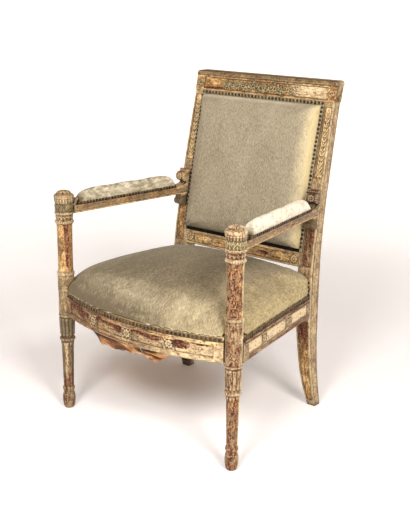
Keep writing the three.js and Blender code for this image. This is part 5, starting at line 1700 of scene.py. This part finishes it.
def make_back():
    """The stuffed back, and a near-black sheet below it, in the gap over the lower rail, that is painted
    shadow.
    """
    bottom = BACK_BOTTOM + BACK_GAP
    middle = (bottom + BACK_STUFF_TOP) / 2
    half_height = (BACK_STUFF_TOP - bottom) / 2
    base, rise = 4.0, 25.0

    def front(u, v):
        z = middle + v * half_height
        depth = base + rise * crown(u, 14, 4) * crown(v, 11, 3.6)
        return np.stack([u * BACK_WALL_HALF, leg_front(z) - depth, z], -1)

    def back(u, v):
        z = middle + v * half_height
        return np.stack([u * BACK_WALL_HALF, leg_front(z) - 1.9, z], -1)

    marks = eased(78, 0.8)
    piece = new_piece("back_cushion", grid_slab(front, back, marks, marks))
    points = points_of(piece.data)
    puff(piece, leg_front(points[:, 2]) - points[:, 1] < base + 1.5, 2.6, 4.0)
    relax(piece.data, 2)

    def pull(points, normals):
        x, y, z = points.T
        along_edge = np.where(np.abs(x) > 0.97 * BACK_WALL_HALF, z, x)
        return 0.45 * np.cos(TAU * along_edge / NAIL_PITCH) * fade(leg_front(z) - y, 5, 8)

    _, normals = quilt(piece, pull)
    x, _, z = points_of(piece.data).T
    # Painted light and shade: darker towards the bottom and the left, with painted highlights along the
    # right edge and the top edge
    low = slope(z, bottom + 30, -28)
    right_highlight = slope(x, BACK_WALL_HALF - 52, 46) ** 1.3
    left_shade = slope(-x, BACK_WALL_HALF - 70, 70)
    top_highlight = bell(z, BACK_STUFF_TOP - 4, 4) * slope(x, 170, -60)
    set_fields(
        piece.data, tone=1.2 * right_highlight - 0.15 * left_shade - 0.4 * low + 0.8 * top_highlight,
        flank=np.clip(normals[:, 0], 0, 1) * 0.5 + 0.8 * right_highlight,
        worn=-0.5 + 0.2 * right_highlight + 0.85 * top_highlight, soil=0.35 * low,
    )
    finish_padded(piece, BACK_VELVET, ["back_cover", "back_stuffing"])
    # Painted shadow: a near-black sheet in the gap between the cushion and the lower rail
    part = raked_sheet(
        BACK_WALL_HALF - 1, BACK_BOTTOM - 1, BACK_BOTTOM + BACK_GAP + 4, leg_front, (-1.6, -0.5), 30, 4,
    )
    make("back_gap_shadow_sheet", part, SHADOW_SHEET, crease=SMOOTH)


PAD_END = CONSOLE_START
PAD_HALF = ARM_WIDTH / 2 - 1.6


def make_pads():
    """The arm pads, paler on the right, where the velvet is rubbed through, with painted light and shade.
    """
    middle, half_length = (PAD_START + PAD_END) / 2, (PAD_END - PAD_START) / 2

    def pad_top(u, v):
        rise = 8 + 32 * crown(u, 2.4, 2) * crown(v, 7, 2.4)
        return arm_place(middle + v * half_length, u * PAD_HALF, ARM_TOP + rise)

    def pad_foot(u, v):
        return arm_place(middle + v * half_length, u * PAD_HALF, ARM_TOP + 0.4)

    def reach_of(points):
        """How far along its arm each point lies."""
        return (points[:, :2] * (flip, 1) - ARM_START) @ ARM_AHEAD

    def pull(points, normals):
        wave = np.cos(TAU * reach_of(points) / PAD_NAIL_PITCH)
        return 0.5 * wave * fade(points[:, 2], ARM_TOP + 5, 7) * (np.abs(normals[:, 2]) < 0.7)

    part = grid_slab(pad_top, pad_foot, eased(20, 0.7), eased(96, 0.7))
    for side, flip, solid in (("right", 1, part), ("left", -1, mirrored(part))):
        piece = new_piece(f"arm_pad_{side}", solid)
        puff(piece, points_of(piece.data)[:, 2] < ARM_TOP + 9.0, 3.0, 2.0, 26.0)
        relax(piece.data, 6)
        points, normals = quilt(piece, pull)
        reach, height = reach_of(points), points[:, 2] - ARM_TOP
        up = np.clip(normals[:, 2], 0, 1)
        near_front = bell(reach, PAD_START, 26)
        # Painted light and shade: the right pad lighter on top and darker towards its front, the left pad
        # darker on top
        if side == "right":
            tone, worn = 0.75 + 0.15 * up - 0.5 * near_front, 0.58 + 0.1 * up - 0.35 * near_front
        else:
            tone, worn = 0.3 - 0.3 * up, 0.32 + 0.1 * up - 0.25 * near_front
        # darker at the foot and at the front tip, for soil and painted shade
        tip = bell(reach, PAD_START + 3, 12) * slope(height, 30, -14)
        set_fields(piece.data, tone=tone, worn=worn, soil=0.3 * fade(height, 7, 4) + 0.9 * tip)
        nodes = [f"arm_pad_cover_{side}", f"arm_pad_stuffing_{side}"]
        finish_padded(piece, PAD_VELVET, nodes)


make_seat()
make_back()
make_pads()


# Braid and nails
GIMP_THICKNESS = 1.6
SEAT_BRAID_WIDTH = 9.4
NAIL_RADIUS = 4.3
NAIL_RISE = 3.0
BRAID_SECTION = [  # shares of a braid's width and thickness
    (-0.5, 0.0), (-0.5, 0.5), (-0.42, 0.9), (-0.25, 1.0), (0.0, 0.86), (0.25, 1.0), (0.42, 0.9), (0.5, 0.5),
    (0.5, 0.0),
]
rng = np.random.default_rng(7)


def band(path, sideways, outward, width, thickness):
    """A flat braid along a path, with rounded edges."""
    path, sideways, outward = (np.asarray(a, float) for a in (path, sideways, outward))
    sideways = np.broadcast_to(sideways, path.shape)
    outward = np.broadcast_to(outward, path.shape)
    rings = [path + sideways * a * width + outward * b * thickness for a, b in BRAID_SECTION]
    return loft(np.stack(rings, 1))


NAIL_HEAD = dome((0.0, 0.0, 0.0), (0.0, 0.0, 1.0), NAIL_RADIUS, NAIL_RISE)


def nail_row(name, places, outward):
    """Nail heads at places, each facing outwards, a little uneven as driven by hand."""
    places = np.asarray(places, float)
    outward = np.broadcast_to(np.asarray(outward, float), places.shape)
    head, head_faces = NAIL_HEAD
    points, faces, tones = [], [], []
    for index, (place, normal) in enumerate(zip(places, outward)):
        normal = unit(unit(normal) + rng.normal(0, 0.06, 3))
        first, second = crosswise(normal)
        size = rng.uniform(0.93, 1.05)
        shift = first * rng.normal(0, 0.25) + second * rng.normal(0, 0.25)
        points.append(place + shift + size * (head @ np.stack([first, second, normal])))
        faces.extend([[index * len(head) + i for i in face] for face in head_faces])
        tones.append(np.full(len(head), rng.uniform(0.1, 0.62)))
    part = np.concatenate(points), faces
    make(name, part, NAIL_METAL, (), {"tone": np.concatenate(tones)}, 60)


def distances(path):
    """How far along a path each of its points lies."""
    return np.concatenate([[0], np.cumsum(np.linalg.norm(np.diff(path, axis=0), axis=1))])


def resampled(path, count, margin=0.0):
    """That many evenly spaced places on a path, a margin away from its ends."""
    run = distances(path)
    spots = np.linspace(margin, run[-1] - margin, count)
    return np.stack([np.interp(spots, run, column) for column in path.T], 1)


def spaced(path, pitch=NAIL_PITCH, start=0.0):
    """Evenly spaced places on a path, close to a pitch apart."""
    count = max(1, round((distances(path)[-1] - 2 * start) / pitch))
    return resampled(path, count + 1, start)


def lay_braid(name, path, outward, node):
    """Braid along one side of the seat."""
    make(name, band(path, (0, 0, 1), outward, SEAT_BRAID_WIDTH, GIMP_THICKNESS), DARK_BRAID, [node])


def make_seat_edge():
    """Braid and nails round the seat: along the bowed front, the two sides and the back."""
    base = RAIL_TOP + 0.4
    gimp_z, nail_z = base + SEAT_BRAID_WIDTH / 2, base + 4.8
    proud = -3.6
    end = RAIL_RADIUS * math.asin((POST_X - 25.5) / RAIL_RADIUS)
    s = np.linspace(-end, end, 90)
    x, y = arc_place(s, proud + 0 * s)
    outward = np.stack([np.sin(s / RAIL_RADIUS), -np.cos(s / RAIL_RADIUS), 0 * s], 1)
    path = np.stack([x, y, gimp_z + 0 * s], 1)
    lay_braid("seat_braid_front", path, outward, "seat_gimp_front")
    heads = spaced(path + outward * GIMP_THICKNESS * 0.8, start=5)
    heads[:, 2] = nail_z
    facing = np.stack([heads[:, 0], heads[:, 1] - RAIL_CENTRE, 0 * heads[:, 0]], 1)
    nail_row("seat_nails_front", heads, facing)
    ahead = unit(SIDE_END - SIDE_START)
    right = np.array([ahead[1], -ahead[0], 0])
    start, stop = SIDE_START + ahead * 11, SIDE_END - ahead * 1.5
    path = np.array([[*(start + (stop - start) * t), gimp_z] for t in np.linspace(0, 1, 30)])
    path = path + right * proud
    corner_low = np.array([*(SIDE_END - ahead * 7), RAIL_TOP + 14]) + right * (proud + 1.2)
    column = corner_low + np.array([-2.0, 0.0, 36.0]) * np.linspace(0, 1, 4)[:, None]
    heads = spaced(path + right * GIMP_THICKNESS * 0.8, start=6)
    heads[:, 2] = nail_z
    heads = np.concatenate([heads, column])
    for side, flip in (("right", 1), ("left", -1)):
        mirror = np.array([flip, 1, 1])
        lay_braid(f"seat_braid_{side}", path * mirror, right * mirror, f"seat_gimp_{side}")
        nail_row(f"seat_nails_{side}", heads * mirror, right * mirror)
    back_y = corners("seat_gimp_back")[1][1]
    ends = LEG_INNER - 1
    path = np.array([[x, back_y - GIMP_THICKNESS, gimp_z] for x in np.linspace(-ends, ends, 20)])
    lay_braid("seat_braid_back", path, (0, 1, 0), "seat_gimp_back")
    heads = spaced(path + np.array([0, GIMP_THICKNESS * 0.8, 0]), start=6)
    heads[:, 2] = nail_z
    nail_row("seat_nails_back", heads, (0, 1, 0))


SIDE_STEPS = 60
TOP_STEPS = 40


def framed_path(half, bottom, top, line, offset, closed):
    """Points up one side, over the top and down the other, and along the bottom where closed."""
    rise = np.linspace(bottom, top, SIDE_STEPS)
    over = np.linspace(half, -half, TOP_STEPS)
    spots = [(half, z) for z in rise] + [(x, top) for x in over[1:]] + [(-half, z) for z in rise[::-1][1:]]
    if closed:
        spots += [(x, bottom) for x in over[::-1][1:-1]]
    return np.array([[x, float(line(z)) + offset, z] for x, z in spots])


def framed_braid(name, path, outward, width, thickness, node):
    """Braid along a framed path, in one band for each side. Returns where on the path the bands end."""
    marks = [0, SIDE_STEPS - 1, SIDE_STEPS + TOP_STEPS - 2, 2 * SIDE_STEPS + TOP_STEPS - 3]
    if len(path) - 1 > marks[-1]:
        marks.append(len(path) - 1)
    bands = []
    for index, (start, stop) in enumerate(zip(marks, marks[1:])):
        sideways = (0, 0, 1) if index % 2 else (1, 0, 0)
        bands.append(band(path[start:stop + 1], sideways, outward, width, thickness))
    make(name, joined(*bands), BRAID, [node])
    return marks


def make_back_edge():
    """Braid and nails up both sides of the back and over its top."""
    half = (BACK_HALF + BACK_WALL_HALF) / 2
    top = (BACK_TOP + BACK_STUFF_TOP) / 2 + 0.5
    path = framed_path(half, BACK_BOTTOM + 2, top, leg_front, -2.6, False)
    thickness = GIMP_THICKNESS + 1.2
    _, first, second, _ = framed_braid("back_braid", path, (0, -1, 0), 8.6, thickness, "back_gimp")
    heads = np.concatenate([
        spaced(path[2:first + 1]), spaced(path[first:second + 1])[1:-1], spaced(path[second:-2]),
    ])
    nail_row("back_nails", heads + np.array([0, -GIMP_THICKNESS - 0.9, 0]), (0, -1, 0.06))


def make_outside_back():
    """The flat cloth on the back's rear side, with its braid and nails."""
    low, high = corners("outside_back_cover")
    half, bottom, top = high[0], low[2], high[2]
    part = raked_sheet(half, bottom, top, leg_back, (2.1, 0.4), 40, 60, 2.5)
    height = part[0][:, 2]
    fields = {"flank": 0 * height, "worn": -0.5 + 0 * height, "soil": 0.25 * crown(height / top, 2, 1)}
    piece = make("outside_back_sheet", part, BACK_VELVET, ["outside_back_cover"], fields, SMOOTH)
    inset = 5.0
    path = framed_path(half - inset, bottom + inset, top - inset, leg_back, 2.2, True)
    framed_braid("outside_back_braid", path, (0, 1, 0), 9.0, GIMP_THICKNESS, "outside_back_gimp")
    heads = spaced(np.concatenate([path, path[:1]]))[:-1]
    nail_row("outside_back_nails", heads + np.array([0, GIMP_THICKNESS - 0.2, 0]), (0, 1, 0))


def make_pad_edges():
    """Braid and nails round the foot of each arm pad."""
    corner = 5.0
    side, front, rear = PAD_HALF + 0.8 - corner, PAD_START - 0.8 + corner, PAD_END + 0.8 - corner
    turn = np.linspace(0, math.pi / 2, 6)
    outline = []
    for quarter, (s, sideways) in enumerate(((rear, side), (front, side), (front, -side), (rear, -side))):
        angle = turn + quarter * math.pi / 2
        outline.append(np.stack([s + corner * np.cos(angle), sideways + corner * np.sin(angle)], 1))
    outline = np.concatenate([*outline, outline[0][:1]])
    z = ARM_TOP + 3.6
    path = arm_place(*resampled(outline, 241).T, z)
    ahead = np.gradient(path, axis=0)
    ahead[0] = ahead[-1] = ahead[1]
    outward = unit(np.stack([ahead[:, 1], -ahead[:, 0], 0 * ahead[:, 0]], 1))
    if ((path - arm_place((front + rear) / 2, 0, z)) * outward).sum() < 0:
        outward = -outward
    part = band(path, (0, 0, 1), outward, 6.4, 1.2)
    heads = spaced(path + outward, PAD_NAIL_PITCH)[:-1]
    nearest = [int(np.argmin(np.linalg.norm(path - head, axis=1))) for head in heads]
    facing = outward[nearest] + np.array([0, 0, 0.25])
    for name, flip, solid in (("right", 1, part), ("left", -1, mirrored(part))):
        mirror = np.array([flip, 1, 1])
        make(f"arm_pad_braid_{name}", solid, DARK_BRAID, [f"arm_pad_gimp_{name}"])
        nail_row(f"arm_pad_nails_{name}", heads * mirror, facing * mirror)


make_seat_edge()
make_back_edge()
make_outside_back()
make_pad_edges()


# Under the seat: straps, burlap, lining and torn strips
def make_straps():
    """The jute webbing, as the solids have it, with soft edges."""
    for node in sorted(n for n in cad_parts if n.startswith("webbing")):
        piece = copied(f"{node}_strap", node)
        modify(piece, "BEVEL", width=0.4 * MM, segments=2)
        finish(piece, JUTE, [node])


def make_burlaps():
    """Burlap over the seat's webbing and behind the back's stuffing."""
    low, high = corners("seat_burlap")

    def place(level):
        def at(u, v):
            front = RAIL_CENTRE - np.sqrt((RAIL_RADIUS - 8) ** 2 - (u * 255) ** 2)
            y = front + (high[1] - 4 - front) * v
            half = np.minimum(seat_side_x(y) - 8, 262)
            half = np.where(y > LEG_SEAT_Y - 8, np.minimum(half, LEG_INNER - 3), half)
            return np.stack([u * half, y, level + 0.3 * np.sin(u * 40) * np.sin(v * 38)], -1)
        return at

    part = grid_slab(place(high[2]), place(low[2]), np.linspace(-1, 1, 50), np.linspace(0, 1, 44))
    piece = make("seat_burlap_sheet", part, BURLAP, ["seat_burlap"], crease=SMOOTH)
    low, high = corners("back_burlap")
    part = raked_sheet(high[0], low[2], high[2], leg_front, (-1.5, -0.4), 40, 50)
    piece = make("back_burlap_sheet", part, BURLAP, ["back_burlap"], crease=SMOOTH)


TEAR = np.array([
    (-165, POST_Y - 19), (-90, POST_Y + 24), (-30, POST_Y + 6), (45, POST_Y + 48), (112, POST_Y - 10),
    (62, POST_Y - 40), (-120, POST_Y - 40),
])


def inside(x, y, outline):
    """Whether places lie inside an outline."""
    hit = np.zeros(np.shape(x), bool)
    for (x0, y0), (x1, y1) in zip(outline, np.roll(outline, -1, 0)):
        crosses = (y0 > y) != (y1 > y)
        hit ^= crosses & (x < (x1 - x0) * (y - y0) / (y1 - y0 + 1e-12) + x0)
    return hit


def make_lining():
    """The dust lining, sagging a little, with a ragged hole behind the front rail."""
    u, v = np.meshgrid(np.linspace(-1, 1, 140), np.linspace(0, 1, 120), indexing="ij")
    front = RAIL_CENTRE - np.sqrt((RAIL_RADIUS - 5) ** 2 - (u * 268) ** 2)
    rear = float(leg_back(RAIL_BOTTOM)) - 9
    y = front + (rear - front) * v
    half = np.where(y > LEG_SEAT_Y - 3, LEG_INNER - 2, np.minimum(seat_side_x(y) - 5, 272))
    x = u * half
    z = RAIL_BOTTOM - 1.0 - 7.0 * crown(u, 2, 1) * crown(2 * v - 1, 2, 1)
    ragged = 5.0 * np.sin(x / 5.0) * np.cos(y / 4.0)
    hole = inside(x + ragged, y + ragged * 0.6, TEAR).ravel()
    faces = np.array([face for face in quads(*u.shape) if not hole[face].any()])
    used = np.unique(faces)
    index = np.full(u.size, -1)
    index[used] = np.arange(len(used))
    points = np.stack([x, y, z], -1).reshape(-1, 3)
    piece = new_piece("seat_lining_torn", (points[used], index[faces].tolist()))
    modify(piece, "SOLIDIFY", thickness=0.6 * MM, offset=0)
    piece.data.shade_smooth()
    finish(piece, LINING, ["seat_lining"])


def rag(name, node, marks, lengths, seed, lean):
    """A torn strip that hangs behind the front rail, curled and notched along its lower edge."""
    noise = np.random.default_rng(seed)
    columns = 90
    s = np.linspace(marks[0], marks[-1], columns)
    teeth = np.convolve(noise.uniform(0, 1, columns), np.ones(7) / 7, "same")
    length = np.interp(s, marks, lengths) * (0.84 + 0.3 * teeth)
    ripple = np.interp(s, np.linspace(marks[0], marks[-1], 9), noise.uniform(-1, 1, 9))
    rows = np.linspace(0, 1, 16)
    drop = length[:, None] * rows
    swing = lean * rows**1.4 + 1.8 * ripple[:, None] * rows + 3.0 * np.sin(rows * 5.0)
    angle = s[:, None] / RAIL_RADIUS

    def layer(offset):
        radius = RAIL_RADIUS - 17 + swing + offset
        return np.stack([
            radius * np.sin(angle), RAIL_CENTRE - radius * np.cos(angle), RAIL_BOTTOM - 1.6 - drop,
        ], -1)

    part = slab(layer(0.7), layer(-0.7))
    share = np.tile(rows, 2 * columns)
    # darker towards the lower edge and much darker at the left end
    dark = share**3 * 0.3 + 0.12 + 0.6 * (part[0][:, 0] < -130)
    piece = make(name, part, HIDE, [node], {"soil": dark}, SMOOTH)


def make_rags():
    """Two torn strips, and loose threads between them."""
    marks = [-168, -158, -146, -132, -112, -84, -56, -36, -28, 0, 34]
    rag("torn_strip_left", "torn_flap_left", marks, [14, 22, 34, 42, 37, 38, 36, 35, 30, 31, 28], 3, -7.0)
    marks = [38, 50, 64, 80, 96, 112, 126]
    rag("torn_strip_right", "torn_flap_right", marks, [22, 28, 34, 38, 31, 20, 9], 5, -4.0)
    noise = np.random.default_rng(11)
    t = np.linspace(0, 1, 14)
    threads = []
    for _ in range(7):
        s = noise.uniform(-158, 20)
        depth = noise.uniform(18, 44)
        angle = (s + noise.uniform(-14, 14) * t**2) / RAIL_RADIUS
        radius = RAIL_RADIUS - 28 + noise.uniform(-6, 6) * t
        path = [radius * np.sin(angle), RAIL_CENTRE - radius * np.cos(angle), RAIL_BOTTOM - 2 - depth * t]
        threads.append(tube(np.stack(path, 1), 0.35, 5))
    make("torn_threads", joined(*threads), JUTE)


make_straps()
make_burlaps()
make_lining()
make_rags()


# Solids that stay as they are
def finish_solids():
    """Bare wood with softened edges for the solids that no piece stands for."""
    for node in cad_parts.values():
        if not node.hide_render:
            node.data.materials.clear()
            node.data.materials.append(RAW_WOOD)
            bevel = node.modifiers.new("bevel", "BEVEL")
            bevel.width = 0.6 * MM
            bevel.segments = 2
            bevel.limit_method = "ANGLE"
            bevel.angle_limit = math.radians(50)


finish_solids()


# Floor, backdrop and lights
ROOM_RADIUS = 7.0
ROOM_BEND = 1.6
ROOM_HEIGHT = 5.0
ROOM_GLOW = 0.57
FLOOR_GLOW = 0.17
LIGHT_SIZE = 0.9
LIGHT_REACH = 2.9
LIGHT_HEIGHT = 2.6


def floor_material():
    """White paper that glows a little, and more towards the wall, with a painted shadow under the chair,
    where it is darker and warmer and does not glow.
    """
    shader = Shader("floor_white", 0.75, 0.15)
    shade = shader.noise(shader.place, 1.2, 2, 0.4)
    pale = shader.mix(shade, "f7f3f1", "fcfaf9")
    # Painted shadow: warmer and darker under the chair
    under = shader.field("under")
    material = shader.done(shader.mix(under, pale, "f2dfce"))
    glow = shader.between(shader.field("wall"), 0.0, 1.0, FLOOR_GLOW, ROOM_GLOW)
    shader.surface.inputs["Emission Color"].default_value = colour("fffdfb")
    # no glow under the chair, which keeps the painted shadow dark
    open_share = shader.between(under, 0.0, 1.0, 1.0, 0.0)
    shader.feed(shader.surface.inputs["Emission Strength"], shader.times(glow, open_share))
    return material


def make_room():
    """A pale round floor that curves up into a wall that glows all round, low down."""
    material = floor_material()
    turn = np.linspace(0, math.pi / 2, 14)
    profile = [(r, 0.0) for r in (*np.arange(0.04, 1.2, 0.04), 1.2, 1.8, 2.4, 3.8)]
    profile += [(ROOM_RADIUS - ROOM_BEND * (1 - math.sin(a)), ROOM_BEND * (1 - math.cos(a))) for a in turn]
    profile += [(ROOM_RADIUS, z) for z in (1.9, 2.3, 2.7, 3.8, ROOM_HEIGHT)]
    angle = np.arange(96) / 96 * TAU
    points = np.array([[(r * math.cos(a), r * math.sin(a), z) for a in angle] for r, z in profile])
    faces = quads(len(profile), len(angle), True) + [list(range(len(angle)))[::-1]]
    mesh = bpy.data.meshes.new("floor")
    mesh.from_pydata(points.reshape(-1, 3).tolist(), [], faces)
    mesh.shade_smooth()
    x, y, z = points.reshape(-1, 3).T
    wall = slope(np.hypot(x, y), 0.6, 2.5) * slope(z, 2.2, -1.0)
    # where the painted shadow lies under the chair
    under = bell(x, -0.24, 0.27) * bell(y, 0.12, 0.19) * (z < 0.01)
    set_fields(mesh, wall=wall, under=under)
    mesh.materials.append(material)
    add_object("floor", mesh)


def make_light(name, turn, power):
    """A softbox that many degrees to the right of the camera, aimed at the seat."""
    azimuth = CAMERA_AZIMUTH + math.radians(turn)
    data = bpy.data.lights.new(name, "AREA")
    data.shape = "RECTANGLE"
    data.size = data.size_y = LIGHT_SIZE
    data.energy = power
    data.color = colour("fffcfb")[:3]
    light = add_object(name, data)
    light.location = (math.sin(azimuth) * LIGHT_REACH, -math.cos(azimuth) * LIGHT_REACH, LIGHT_HEIGHT)
    direction = Vector((0, 0, 0.4)) - light.location
    light.rotation_euler = direction.to_track_quat("-Z", "Y").to_euler()


def make_lights():
    """A dim warm sky and a softbox on either side of the camera."""
    world = bpy.data.worlds.new("room")
    world.use_nodes = True
    sky = world.node_tree.nodes["Background"]
    sky.inputs["Color"].default_value = colour("ffd9b4")
    sky.inputs["Strength"].default_value = 0.13
    scene.world = world
    make_light("left_box", -19, 75)
    make_light("right_box", 23, 86)


scene.view_settings.view_transform = "Standard"
make_room()
make_lights()
